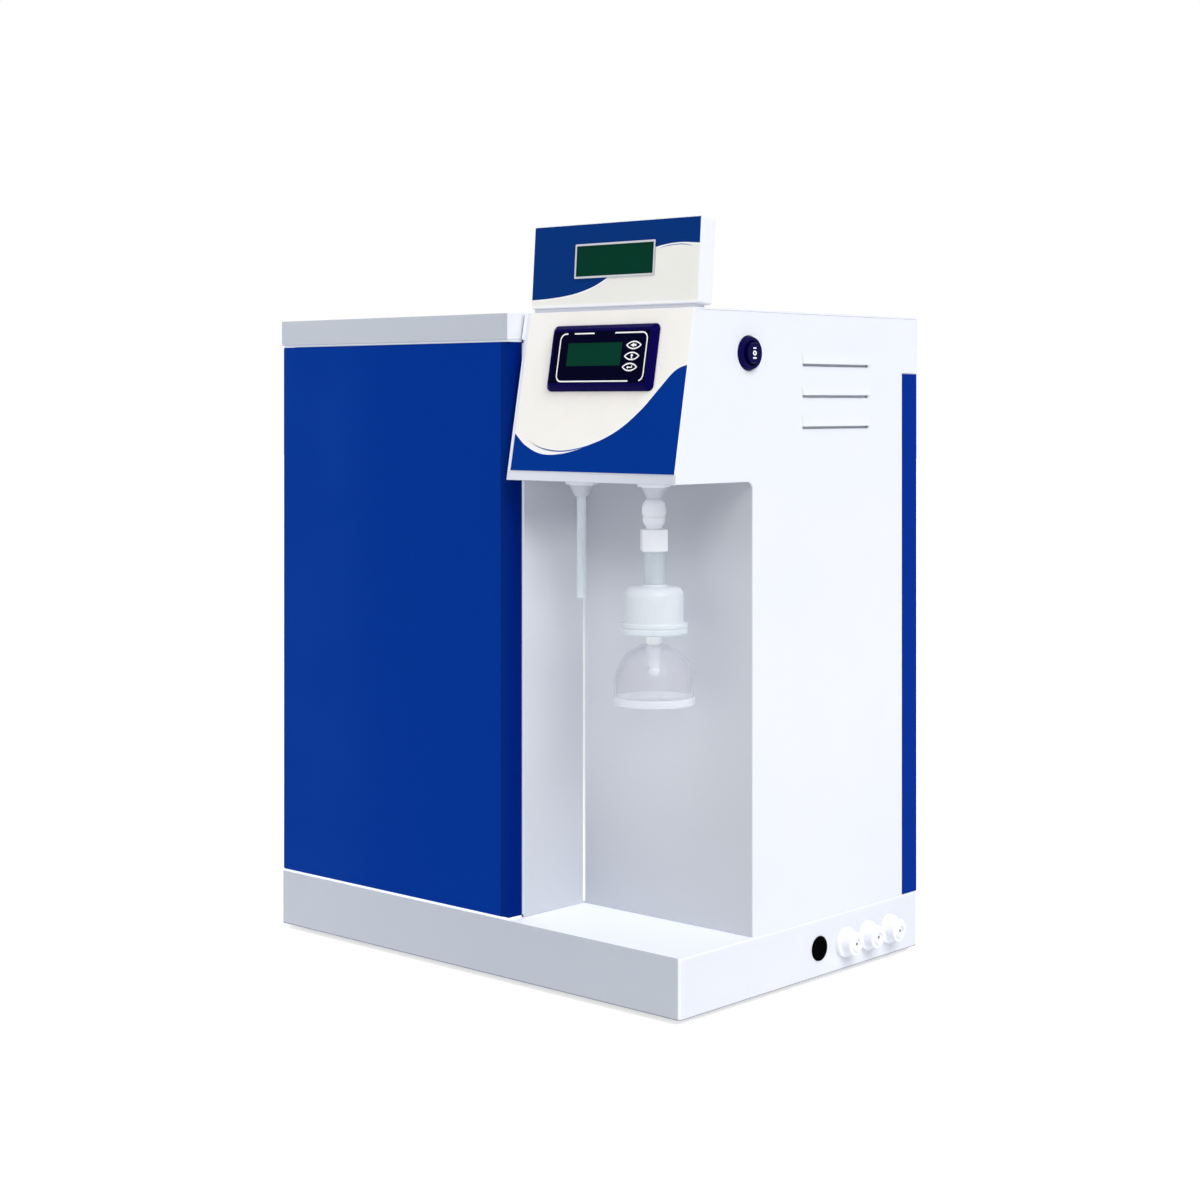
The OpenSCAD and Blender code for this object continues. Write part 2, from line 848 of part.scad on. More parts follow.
module head_shell() {
  color("white") placed() difference() {
    union() {
      on_face() translate([0, 0, -sheet]) cube([head_w, face_len, sheet]);
      box([head_x, -head_overhang + 0.9 * sheet, head_z], [inner_right, alcove_d + sheet, head_z + sheet]);
      sheet_yz(head_x) polygon([
        [-head_overhang + 0.9 * face_thick_y, head_z], [face_top_y + 0.9 * face_thick_y, roof_z],
        [head_back, roof_z], [head_back, head_z]
      ]);
      box([alcove_x, head_back - sheet, head_z], [head_x + eps, head_back, roof_z]);
    }
    at_meter() translate([-case_w / 2 - case_gap, -case_h / 2 - case_gap, -sheet - 2])
      cube([case_w + 2 * case_gap, case_h + 2 * case_gap, sheet + 4]);
    for (x = outlet_x) {
      translate([x, outlet_y, head_z - 1]) cylinder(r = stem_r + stem_clear, h = sheet + 2);
    }
  }
}

module fascia_overlay() {
  color("linen") placed() difference() {
    on_face() translate([fascia_edge, fascia_lip, 0])
      linear_extrude(fascia_t)
      round_rect(head_w - fascia_edge - fascia_in, face_len - fascia_lip - fascia_in, 1);
    at_meter() translate([-case_w / 2 - case_gap, -case_h / 2 - case_gap, -1])
      cube([case_w + 2 * case_gap, case_h + 2 * case_gap, fascia_t + 2]);
  }
}

// a key's outline: two arcs that meet in points
module almond(w, h) {
  r = (w * w / 4 + h * h / 4) / h;
  intersection() {
    translate([0, h / 2 - r]) circle(r);
    translate([0, r - h / 2]) circle(r);
  }
}

module at_key(i) {
  at_meter() translate([key_right - i * key_step, panel_up + (1 - i) * key_pitch, 0]) children();
}

module meter_bezel() {
  in_w = film_w + 0.2;
  in_h = film_h + 0.2;
  color("#0a0640") placed() difference() {
    at_meter() translate([0, 0, fascia_t]) hull() {
      linear_extrude(1.2) centred(meter_w, meter_h, meter_r, $fn = 32);
      linear_extrude(meter_proud)
        centred(meter_w - 2 * meter_chamfer, meter_h - 2 * meter_chamfer, meter_r - 1, $fn = 32);
    }
    at_meter() translate([-in_w / 2, -in_h / 2, film_z]) cube([in_w, in_h, film_t + 1]);
    at_meter() translate([-in_w / 2 + 2, -in_h / 2 + 2, fascia_t - 1])
      cube([in_w - 4, in_h - 4, film_z - front_t - fascia_t + 1]);
    at_meter() translate([-window_left - window_w / 2, window_up - window_h / 2, 0])
      cube([window_w, window_h, meter_proud + 2]);
    for (i = [0:2]) {
      at_key(i) linear_extrude(meter_proud + 2) almond(key_w + 2 * key_gap, key_h + 2 * key_gap);
    }
  }
}

module meter_film() {
  color("#050330") placed() difference() {
    at_meter() translate([0, 0, film_z]) linear_extrude(film_t) square([film_w, film_h], center = true);
    at_meter() translate([-window_left - window_w / 2, window_up - window_h / 2, 0])
      cube([window_w, window_h, meter_proud + 2]);
    for (i = [0:2]) {
      at_key(i) linear_extrude(meter_proud + 2) almond(key_w + 2 * key_gap, key_h + 2 * key_gap);
    }
  }
}

module meter_window() {
  color("#083c2a") placed() at_meter()
    translate([-window_left - window_w / 2, window_up - window_h / 2, window_z])
    cube([window_w, window_h, front_t + film_t - 0.2]);
}

module meter_case() {
  color("#18181c") placed() at_meter() difference() {
    translate([-case_w / 2, -case_h / 2, -meter_deep]) cube([case_w, case_h, meter_deep + fascia_t]);
    translate([-case_w / 2 + case_wall, -case_h / 2 + case_wall, -meter_deep + case_wall])
      cube([case_w - 2 * case_wall, case_h - 2 * case_wall, meter_deep + fascia_t]);
  }
}

module meter_board() {
  top = film_z - front_t - key_foot - 1.6;
  color("#1c6a3c") placed() at_meter() {
    translate([-case_w / 2 + case_wall, -case_h / 2 + case_wall, top - 5])
      cube([case_w - 2 * case_wall, case_h - 2 * case_wall, 1.6]);
    translate([-window_left - window_w / 2 - 1, window_up - window_h / 2 - 1, top - 3.4])
      cube([window_w + 2, window_h + 2, window_z - top + 3.4]);
    translate([-plug.x / 2, -plug.y / 2, top - 5 - plug.z]) cube(plug + [0, 0, eps]);
  }
}

module meter_clamps() {
  color("#303034") placed() at_meter() for (s = [-1, 1]) {
    translate([s * (case_w / 2 + 2.5), 0, -sheet - 14]) translate([-2.5, -6, 0]) cube([5, 12, 14]);
  }
}

module key_cap(i) {
  top = film_z + film_t + key_proud;
  foot = film_z - front_t - key_foot - key_travel;
  at_key(i) {
    translate([0, 0, foot]) linear_extrude(top - foot) almond(key_w, key_h);
    translate([-2, -1.5, foot - key_stub]) cube([4, 3, key_stub + eps]);
  }
}

module key_up() {
  color("#0a0a3c") placed() key_cap(0);
}

module key_set() {
  color("#0a0a3c") placed() key_cap(1);
}

module key_down() {
  color("#0a0a3c") placed() key_cap(2);
}

// ---- display ----

module display_case() {
  color("white") placed() on_display() difference() {
    translate([0, 0, -display_t]) linear_extrude(display_t - display_plate)
      round_rect(display_w, display_h, 2);
    translate([0, 0, -display_t + 1.5]) linear_extrude(display_t)
      translate([1.5, 1.5]) round_rect(display_w - 3, display_h - 3, 0.5);
  }
}

module display_plate() {
  color("white") placed() on_display() difference() {
    translate([0, 0, -display_plate]) linear_extrude(display_plate - display_film)
      round_rect(display_w, display_h, 2);
    at_lcd() translate([-lcd_w / 2, -lcd_h / 2, -5]) cube([lcd_w, lcd_h, 8]);
  }
}

module at_lcd() {
  translate([display_w - lcd_right, lcd_up, 0]) children();
}

module display_overlay() {
  color("#123c9c") placed() on_display() difference() {
    translate([0.6, 0.6, -display_film]) linear_extrude(display_film)
      round_rect(display_w - 1.2, display_h - 1.2, 1.5);
    at_lcd() translate([-lcd_w / 2, -lcd_h / 2, -2]) cube([lcd_w, lcd_h, 4]);
  }
}

module display_frame() {
  out_w = lcd_w + 2 * lcd_frame - 1.2;
  out_h = lcd_h + 2 * lcd_frame - 1.2;
  color("silver") placed() on_display() at_lcd() difference() {
    linear_extrude(0.8) centred(out_w, out_h, 0.8);
    translate([0, 0, -1]) linear_extrude(3) square([lcd_w - 1.2, lcd_h - 1.2], center = true);
  }
}

module display_window() {
  color("#0a402c") placed() on_display() at_lcd()
    translate([-lcd_w / 2 + 0.1, -lcd_h / 2 + 0.1, -display_t + 1.5])
    cube([lcd_w - 0.2, lcd_h - 0.2, display_t - 1.5 - 0.05]);
}

module display_gasket() {
  color("#404048") placed() intersection() {
    box([display_x + gasket_left, display_y + 2, cabinet_h],
        [x_right - gasket_right, display_y + display_t - 3, display_z + 1]);
    on_display() translate([0, -display_gap * 3, -display_t]) cube([display_w, display_gap * 3, display_t]);
  }
}

// ---- right side ----

module switch_body() {
  color("#0c0a4a") placed() at_side(switch_y, switch_z) difference() {
    union() {
      translate([0, 0, -switch_deep]) cylinder(r = switch_body_r, h = switch_deep + eps);
      cylinder(r1 = switch_r, r2 = switch_r - 1.4, h = switch_proud);
    }
    translate([0, 0, -rocker_round - rocker_gap]) cylinder(r = rocker_well, h = 20);
    rotate([90, 0, 0]) translate([0, 0, -rocker_pin_end - 0.2])
      cylinder(r = rocker_pin_r + 0.07, h = 2 * rocker_pin_end + 0.4);
  }
}

// the rocker turns about an axis along Y through the centre of its round face
module switch_rocker() {
  color("#08082e") placed() at_side(switch_y, switch_z) {
    intersection() {
      translate([0, 0, -rocker_round]) cylinder(r = rocker_r, h = rocker_round + rocker_proud);
      rotate([90, 0, 0]) translate([0, 0, -20]) cylinder(r = rocker_round, h = 40);
    }
    rotate([90, 0, 0]) translate([0, 0, -rocker_pin_end]) cylinder(r = rocker_pin_r, h = 2 * rocker_pin_end);
  }
}

module cable_grommet() {
  color("#101010") placed() at_side(entry_y, entry_z) difference() {
    union() {
      cylinder(r = entry_r, h = 1.6);
      translate([0, 0, -sheet - 2]) cylinder(r = entry_bore + 1.9, h = sheet + 2 + eps);
      translate([0, 0, -sheet - 2]) cylinder(r = entry_r - 0.6, h = 2);
    }
    translate([0, 0, -sheet - 3]) cylinder(r = entry_bore, h = sheet + 6);
  }
}

module port_fittings() {
  color("white") placed() at_ports() difference() {
    union() {
      cylinder(r = port_r, h = 3);
      cylinder(r = 8, h = port_reach - 1.5);
      translate([0, 0, port_reach - 1.5 - eps]) cylinder(r = 5.4, h = 1.5 + eps);
      translate([0, 0, -port_in]) cylinder(r = port_stem_r, h = port_in + eps);
    }
    translate([0, 0, -port_in - 1]) cylinder(r = port_bore, h = port_in + port_reach + 2);
  }
}

module port_nuts() {
  color("white") placed() at_ports() translate([0, 0, -sheet - 5]) hex(11, port_stem_r + 0.05, 5);
}

// ---- outlets ----

module outlet_fittings() {
  color("#e8eaee") placed() for (x = outlet_x) {
    translate([x, outlet_y, head_z]) difference() {
      rotate_extrude() polygon([
        [0, 0], [flange_r, 0], [flange_r, -2.6], [flange_r - 1, -3.6], [8.6, -4.2],
        [8.2, -5.6], [cone_r, -fitting_h], [0, -fitting_h]
      ]);
      translate([0, 0, -fitting_h - 1]) cylinder(r = tube_r + fit_clear, h = socket_deep + 1);
      translate([0, 0, -fitting_h]) cylinder(r = tube_bore, h = fitting_h + 1);
    }
    translate([x, outlet_y, head_z - eps]) ring(stem_r, tube_bore, sheet + stem_up);
  }
}

module outlet_nuts() {
  color("#e8eaee") placed() for (x = outlet_x) {
    translate([x, outlet_y, head_z + sheet]) hex(outlet_nut_r, stem_r + thread_clear, outlet_nut_h);
  }
}

module sample_tube() {
  color("#dfe8ea", 0.7) placed() translate([outlet_x[0], outlet_y, head_z - fitting_h - tube_len])
    ring(tube_r, tube_bore, tube_len + socket_deep);
}

module solenoid_valves() {
  z = head_z + sheet + stem_up - eps;
  color("#404048") placed() for (x = outlet_x) {
    translate([x - valve_w / 2, outlet_y - valve_w / 2, z + eps]) cube([valve_w, valve_w, valve_h]);
    translate([x, outlet_y, z + valve_h]) cylinder(r = valve_neck_r, h = valve_neck_h);
    translate([x - coil_w / 2, outlet_y - coil_w / 2, z + valve_h + valve_neck_h])
      cube([coil_w, coil_w, coil_h]);
  }
}

// the connector's outline from the top down, in shares of its radius and its height
CONNECTOR = [
  [0, 0], [0.585, 0], [0.683, 0.037], [0.878, 0.13], [0.988, 0.26], [1, 0.4], [0.963, 0.545],
  [0.902, 0.56], [0.939, 0.58], [0.915, 0.72], [0.82, 0.83], [0.683, 0.91], [0.683, 1], [0, 1]
];

module quick_connector() {
  color("#f4f5f8") placed() translate([outlet_x[1], outlet_y, connector_z]) difference() {
    union() {
      rotate_extrude() polygon([for (p = CONNECTOR) [p.x * connector_r, -p.y * connector_h]]);
      translate([0, 0, -eps]) cylinder(r = tube_r, h = socket_deep - 0.5);
      translate([0, 0, -connector_h - nut_h - plug_in])
        cylinder(r = soft_bore - thread_clear, h = nut_h + plug_in + eps);
    }
    translate([0, 0, -connector_h - nut_h - plug_in - 1])
      cylinder(r = tube_bore, h = connector_h + nut_h + plug_in + socket_deep + 2);
  }
}

module connector_nut() {
  color("white") placed() translate([outlet_x[1], outlet_y, soft_z])
    rotate([0, 0, nut_turn]) hex(nut_r, soft_bore, nut_h);
}

module filter_tube() {
  color("#dce6ea", 0.6) placed() translate([outlet_x[1], outlet_y, capsule_z])
    ring(soft_r, soft_bore, soft_h);
}

module filter_capsule() {
  r = capsule_r;
  w = capsule_wall;
  top = capsule_h;
  color("#e4ecf0", 0.7) placed() translate([outlet_x[1], outlet_y, rim_z]) difference() {
    union() {
      cylinder(r = r, h = top - 5);
      translate([0, 0, top - 5 - eps]) rotate_extrude() {
        square([r - 3, 3.5 + eps]);
        intersection() {
          translate([r - 3.5, 0]) circle(3.5);
          translate([r - 3.5, 0]) square(3.5);
        }
      }
      cylinder(r = soft_r + 1.6, h = top);
      cylinder(r = rim_r, h = 3);
      cylinder(r = soft_bore - thread_clear, h = top + plug_in);
    }
    translate([0, 0, -1]) cylinder(r = r - w, h = top - 5 - w + 1);
    cylinder(r = tube_bore, h = top + plug_in + 1);
  }
}

module filter_membrane() {
  color("white") placed() translate([outlet_x[1], outlet_y, rim_z])
    ring(capsule_r - capsule_wall - 0.3, 4, capsule_h - 5 - capsule_wall - 1);
}

// the end of the nozzle under its wide part, in shares of its radius and its length
NOZZLE_END = [
  [0.79, 0.18], [0.74, 0.5], [0.62, 0.66], [0.77, 0.76], [0.74, 0.88], [0.53, 1], [0, 1]
];

module filter_base() {
  color("#e4ecf0", 0.8) placed() translate([outlet_x[1], outlet_y, rim_z]) difference() {
    rotate_extrude() polygon([
      [0, 0], [rim_r, 0], [rim_r, -3.6], [rim_r - 0.8, -4.4], [rim_r - 4, -4.9],
      [nozzle_r + 2, -rim_h + 0.5], [nozzle_r, -rim_h], [nozzle_r, -rim_h - collar_h],
      [bell_seat_r, -rim_h - collar_h], [bell_seat_r, -rim_h - collar_h - bell_seat_h],
      [nozzle_r, -rim_h - collar_h - bell_seat_h], [nozzle_r - 0.2, -rim_h - nozzle_wide],
      for (p = NOZZLE_END) [p.x * nozzle_r, -rim_h - nozzle_wide - p.y * (nozzle_h - nozzle_wide)]
    ]);
    translate([0, 0, -rim_h - nozzle_h - 1]) cylinder(r = nozzle_bore, h = rim_h + nozzle_h + 2);
  }
}

module quarter_disc(r) {
  intersection() {
    circle(r, $fn = 96);
    square(r);
  }
}

module filling_bell() {
  color("#dfe6ee", 0.5) placed() translate([outlet_x[1], outlet_y, bell_mid]) rotate_extrude() difference() {
    union() {
      quarter_disc(bell_r);
      translate([0, -bell_skirt]) square([bell_r, bell_skirt]);
      translate([0, -bell_skirt]) square([bell_r + bell_rim_out, bell_rim_h]);
    }
    quarter_disc(bell_r - bell_wall);
    translate([0, -bell_skirt - 1]) square([bell_r - bell_wall, bell_skirt + 1]);
    square([bell_seat_r + bell_clear, bell_r + 1]);
    translate([0, bell_r - bell_flat]) square(bell_r);
  }
}

// ---- inside ----

module at_cartridges() {
  for (i = [0:cartridge_n - 1]) {
    translate([bay_x + (i - (cartridge_n - 1) / 2) * cartridge_pitch, cartridge_y, manifold_z]) children();
  }
}

module cartridges() {
  r = cartridge_r;
  color("white") placed() at_cartridges() rotate_extrude() polygon([
    [0, -cartridge_h], [r - 8, -cartridge_h], [r - 2, -cartridge_h + 4], [r, -cartridge_h + 12],
    [r, -34], [r - 3, -24], [neck_r + 3, -12], [neck_r + 3, 0], [neck_r, 0], [neck_r, neck_h], [0, neck_h]
  ]);
}

module manifold() {
  w = 2 * (neck_r + manifold_wall);
  span = (cartridge_n - 1) * cartridge_pitch;
  color("#e8e8ec") placed() difference() {
    union() {
      at_cartridges() translate([-w / 2, -w / 2, 0]) cube([w, w, manifold_h]);
      translate([bay_x - span / 2, cartridge_y - 8, manifold_z + 14]) cube([span, 16, 10]);
      translate([bay_x - span / 2 - w / 2, bay_y - 3, manifold_z]) cube([span + w, 3, manifold_h + 10]);
      at_cartridges() translate([-6, 0, 0]) cube([12, bay_y - cartridge_y - 1, manifold_h]);
    }
    at_cartridges() translate([0, 0, -1]) cylinder(r = neck_r + neck_clear, h = neck_h + 2);
  }
}

module along_x(x, y, z) {
  translate([x, y, z]) rotate([0, 90, 0]) children();
}

module membrane_housing() {
  color("white") placed() along_x(membrane_x, membrane_y, membrane_z) difference() {
    union() {
      cylinder(r = membrane_r - 3, h = membrane_h);
      translate([0, 0, membrane_h - membrane_cap_h]) cylinder(r = membrane_r, h = membrane_cap_h);
      cylinder(r = 8, h = membrane_h + membrane_port);
    }
    translate([0, 0, membrane_h]) cylinder(r = port_bore, h = 10);
  }
}

module housing_clips() {
  r = membrane_r - 3;
  color("#e8e8ec") placed() for (x = [membrane_x + clip_in, membrane_x + membrane_h - 2 * clip_in]) {
    difference() {
      union() {
        along_x(x, membrane_y, membrane_z) cylinder(r = r + clip_wall, h = clip_t);
        box([x, membrane_y, membrane_z - clip_tall / 2], [x + clip_t, bay_y, membrane_z + clip_tall / 2]);
      }
      along_x(x - 1, membrane_y, membrane_z) cylinder(r = r + clip_clear, h = clip_t + 2);
      box([x - 1, membrane_y - r - 10, membrane_z - clip_tall / 2 + 2],
          [x + clip_t + 1, membrane_y - 6, membrane_z + clip_tall / 2 - 2]);
    }
  }
}

module polishing_columns() {
  color("#d8dce2") placed() for (x = outlet_x) {
    translate([x, column_y, column_z]) {
      cylinder(r = column_r - 2, h = column_h);
      cylinder(r = column_r, h = 14);
      translate([0, 0, column_h - 14]) cylinder(r = column_r, h = 14);
      cylinder(r = 5, h = column_h + 12);
      for (z = [30, column_h - 42]) {
        translate([-10, 0, z]) cube([20, bay_y - column_y, clip_t]);
      }
    }
  }
}

module booster_pump() {
  y = (bay_y + sheet + rear_y) / 2;
  x = pump_x + pump_plate_in;
  axis_z = plinth_h + motor_axis;
  end_x = x + motor_len + pump_ring_t - 2 * eps;
  color("#3c4048") placed() {
    box([pump_x, y - pump_plate_d / 2, plinth_h],
        [end_x + pump_head_w, y + pump_plate_d / 2, plinth_h + pump_plate_t]);
    for (saddle_x = [x + saddle_w, x + motor_len - 2 * saddle_w]) {
      translate([saddle_x, y - saddle_d / 2, plinth_h + pump_plate_t - eps])
        cube([saddle_w, saddle_d, saddle_h]);
    }
    along_x(x, y, axis_z) cylinder(r = motor_r, h = motor_len);
    along_x(x + motor_len - eps, y, axis_z) cylinder(r = pump_ring_r, h = pump_ring_t);
    translate([end_x, y - pump_head_h / 2, axis_z - pump_head_h / 2])
      cube([pump_head_w, pump_head_h, pump_head_h]);
  }
}

module power_supply() {
  right = x_right - supply_right;
  color("silver") placed()
    box([right - supply_w, bay_y + sheet + supply_front, plinth_h],
        [right, rear_y - sheet - supply_back, plinth_h + supply_h]);
}

module control_board() {
  y = bay_y + sheet + post_h;
  color("#1c6a3c") placed() {
    translate([board_x, y, board_z]) cube([board_w, board_t, board_h]);
    for (x = [board_x + post_in, board_x + board_w - post_in]) {
      for (z = [board_z + post_in, board_z + board_h - post_in]) {
        translate([x, bay_y + sheet, z]) rotate([-90, 0, 0]) cylinder(r = post_r, h = post_h + eps);
      }
    }
    translate([board_x + board_w / 4, y + board_t - eps, board_z + board_h / 5]) cube(relay);
    translate([board_x + 3 * board_w / 5, y + board_t - eps, board_z + 3 * board_h / 5]) cube(transformer);
  }
}

base_tray();
rubber_feet();
foot_screws();
foot_nuts();
left_side_panel();
right_side_panel();
top_cover();
rear_panel();
rear_cover();
rear_screws();
alcove_liner();
mounting_panel();
upper_hinge_bracket();
pivot_bushes();
magnet_catch();
door_skin();
door_liner();
door_pivots();
strike_plate();
head_shell();
fascia_overlay();
meter_bezel();
meter_film();
meter_window();
meter_case();
meter_board();
meter_clamps();
key_up();
key_set();
key_down();
display_case();
display_plate();
display_overlay();
display_frame();
display_window();
display_gasket();
switch_body();
switch_rocker();
cable_grommet();
port_fittings();
port_nuts();
outlet_fittings();
outlet_nuts();
sample_tube();
solenoid_valves();
quick_connector();
connector_nut();
filter_tube();
filter_capsule();
filter_membrane();
filter_base();
filling_bell();
cartridges();
manifold();
membrane_housing();
housing_clips();
polishing_columns();
booster_pump();
power_supply();
control_board();
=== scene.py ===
# %% [markdown]
# # An ultrapure water system for the laboratory bench
#
# The real machine is a cabinet of folded and powder-coated steel. Behind its blue door stand the
# filter cartridges. In the open alcove on its right, pure water comes out of a tube and through a
# small filter with a bell. A leaning head carries a panel meter with three keys, and a flat
# display stands on the roof.
#
# The shapes were drawn in a CAD program and arrive here as a fixed frame. This lesson gives them
# the finish of the real machine: soft edges, paint, printed film, inks and clear plastics.

import json
import math

import bmesh
import bpy
from mathutils import Matrix, Vector

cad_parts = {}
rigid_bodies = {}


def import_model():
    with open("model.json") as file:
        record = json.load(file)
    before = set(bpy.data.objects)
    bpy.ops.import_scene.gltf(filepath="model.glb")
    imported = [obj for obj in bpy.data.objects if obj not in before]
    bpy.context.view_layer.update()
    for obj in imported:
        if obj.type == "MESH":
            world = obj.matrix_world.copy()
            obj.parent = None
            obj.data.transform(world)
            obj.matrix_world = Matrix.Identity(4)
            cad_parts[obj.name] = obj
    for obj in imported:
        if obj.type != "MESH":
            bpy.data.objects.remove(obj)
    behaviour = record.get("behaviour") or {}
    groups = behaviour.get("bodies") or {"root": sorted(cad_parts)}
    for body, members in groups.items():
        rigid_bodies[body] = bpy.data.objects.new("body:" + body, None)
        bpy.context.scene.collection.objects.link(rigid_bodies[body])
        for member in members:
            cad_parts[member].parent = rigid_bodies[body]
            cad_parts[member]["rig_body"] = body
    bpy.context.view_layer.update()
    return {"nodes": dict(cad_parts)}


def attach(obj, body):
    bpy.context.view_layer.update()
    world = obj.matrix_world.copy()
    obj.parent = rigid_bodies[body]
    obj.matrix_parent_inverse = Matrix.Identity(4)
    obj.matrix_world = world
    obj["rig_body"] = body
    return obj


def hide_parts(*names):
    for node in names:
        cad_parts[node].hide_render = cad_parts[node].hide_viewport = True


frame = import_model()
nodes = frame["nodes"]

# %% [markdown]
# A maker measures a cabinet in its own millimetres: here x runs from the middle to the right, y
# from the front of the plinth to the rear, and z up from its underside. The CAD frame is in metres
# and has another origin, so one small function turns the measures into places of the frame.

# %% The cabinet's own measures
MM = 0.001
SHIFT = Vector((-6.0, -132.8, 4.0))


def spot(x, y, z):
    """A place in the frame, in metres, from the cabinet's own millimetres."""
    return (Vector((x, y, z)) + SHIFT) * MM


def place(x, y, z, tilt=0, axis="X"):
    """A place in the frame, turned by so many degrees round its own axis."""
    return Matrix.Translation(spot(x, y, z)) @ Matrix.Rotation(math.radians(tilt), 4, axis)


def sideways(y, z):
    """A place on the right side of the cabinet, with z pointing out of it."""
    return place(RIGHT_SIDE, y, z, 90, "Y")


def at_outlet(number, z, tilt=0):
    """A place on the axis of the left outlet, which is 0, or of the right one, which is 1."""
    return place(OUTLETS[number], OUTLET_Y, z, tilt, "Z")


LEAN, DISPLAY_LEAN = 10.5, 4.0
HEAD_FOOT, PLINTH_TOP = 345.5, 40.0
ALCOVE_LEFT, ALCOVE_BACK, RIGHT_SIDE = 45.6, 76.0, 200.0
OUTLETS, OUTLET_Y = (79.5, 146.0), 36.8
CABINET = place(0, 0, 0)
HEAD = place(48.6, -6, HEAD_FOOT, 90 - LEAN)
METER = HEAD @ Matrix.Translation(Vector((76.8, 84, 0)) * MM)
DISPLAY = place(49, 18.1, 463.3, 90 - DISPLAY_LEAN)
SWITCH = sideways(71, 431.5)
print("head corner", [round(c, 4) for c in HEAD.translation])

# %% [markdown]
# Materials and Geometry Nodes are both trees of nodes. A tree is easier to read as arithmetic, so
# one small class wraps an output socket and lets Python's own operators add the Math nodes, and
# one method adds any other node.

# %% Node trees written as arithmetic
def operator(operation, swapped=False):
    """A method that puts a Math node between a wire and another wire or a number."""
    def method(wire, other):
        values = (other, wire) if swapped else (wire, other)
        return wire.graph.node("ShaderNodeMath", dict(enumerate(values)), operation=operation)
    return method


class Wire:
    """An output socket that plain arithmetic can use."""
    __add__, __sub__, __mul__ = operator("ADD"), operator("SUBTRACT"), operator("MULTIPLY")
    __truediv__, __rsub__ = operator("DIVIDE"), operator("SUBTRACT", swapped=True)
    larger = operator("MAXIMUM")

    def __init__(self, graph, socket):
        self.graph, self.socket = graph, socket


class Graph:
    """A tree of nodes that one method fills."""

    def __init__(self, tree):
        self.tree = tree

    def node(self, kind, sockets, out=0, **settings):
        made = self.tree.nodes.new(kind)
        for name, value in settings.items():
            setattr(made, name, value)
        for name, value in sockets.items():
            self.feed(made.inputs[name], value)
        return Wire(self, made.outputs[out])

    def feed(self, socket, value):
        if isinstance(value, Wire):
            self.tree.links.new(value.socket, socket)
        else:
            socket.default_value = value


print("nodes can be added")

# %% [markdown]
# A finish is a Principled shader. What varies over the surface comes from patterns in the piece's
# own metres, so that a pattern has a true size on whatever piece it covers.

# %% What every finish can do
def ink(red, green, blue):
    """A colour given as a screen shows it, from 0 to 255, as Blender's linear light."""
    steps = [c / 255 for c in (red, green, blue)]
    return (*[c / 12.92 if c <= 0.04045 else ((c + 0.055) / 1.055) ** 2.4 for c in steps], 1.0)


BLACK = ink(0, 0, 0)


def shade(colour, amount):
    """The same colour, lighter or darker."""
    return (*[min(1.0, c * amount) for c in colour[:3]], 1.0)


class Finish(Graph):
    """A material whose patterns are in metres on the piece itself."""

    def __init__(self, name, colour, rough, sheen=0.5, **shader):
        self.material = bpy.data.materials.new(name)
        self.material.use_nodes = True
        super().__init__(self.material.node_tree)
        self.shader = self.tree.nodes["Principled BSDF"]
        self.colour = colour
        self.where = self.node("ShaderNodeTexCoord", {}, "Object")
        self.wear(Base_Color=colour, Roughness=rough, Specular_IOR_Level=sheen, **shader)

    def wear(self, **sockets):
        for name, value in sockets.items():
            self.feed(self.shader.inputs[name.replace("_", " ")], value)
        return self

    def past(self, axis, edge, soft):
        """0 before an edge along one axis of the cabinet and 1 beyond it, in its own millimetres."""
        number = "XYZ".index(axis)
        along = self.node("ShaderNodeSeparateXYZ", {0: self.where}, number)
        middle = edge + SHIFT[number]
        step = {"Value": along, "From Min": (middle - soft) * MM, "From Max": (middle + soft) * MM}
        return self.node("ShaderNodeMapRange", step, interpolation_type="SMOOTHSTEP")

    def before(self, axis, edge, soft):
        """1 before that edge and 0 beyond it."""
        return 1 - self.past(axis, edge, soft)

    def clouds(self, size, detail=2, stretch=(1, 1, 1)):
        """Soft noise from 0 to 1 with lumps of about that size in metres."""
        at = self.node("ShaderNodeMapping", {"Vector": self.where, "Scale": stretch})
        return self.node("ShaderNodeTexNoise", {"Vector": at, "Scale": 1 / size, "Detail": detail})

    def blend(self, amount, low, high):
        return self.node("ShaderNodeMix", {0: amount, 6: low, 7: high}, 2, data_type="RGBA")

    def tint(self, amount, low, high):
        return self.wear(Base_Color=self.blend(amount, low, high))

    def paint_light(self, amount, colour):
        """Painted light: a faint glow, as strong as the amount, that brightens the surface as falling light
        would.
        """
        return self.wear(Emission_Color=self.blend(amount, BLACK, colour), Emission_Strength=1.0)

    def relief(self, height, depth, strength=1.0):
        """Bumps of that depth in metres."""
        bump = self.node("ShaderNodeBump", {"Height": height, "Distance": depth, "Strength": strength})
        return self.wear(Normal=bump)

    def mottle(self, lumps, rough, rough_amount, dark, light):
        """Slightly uneven gloss and colour, from so much darker to so much lighter."""
        self.wear(Roughness=lumps * rough_amount + (rough - rough_amount / 2))
        return self.tint(lumps, shade(self.colour, dark), shade(self.colour, light))


print("finishes ready")

# %% [markdown]
# ## Powder coat
#
# Dry powder melts in an oven and leaves a satin skin with a fine orange peel. The coat gets these
# low bumps, a faint unevenness, and a trace of grime that gathers low down, near the bench.

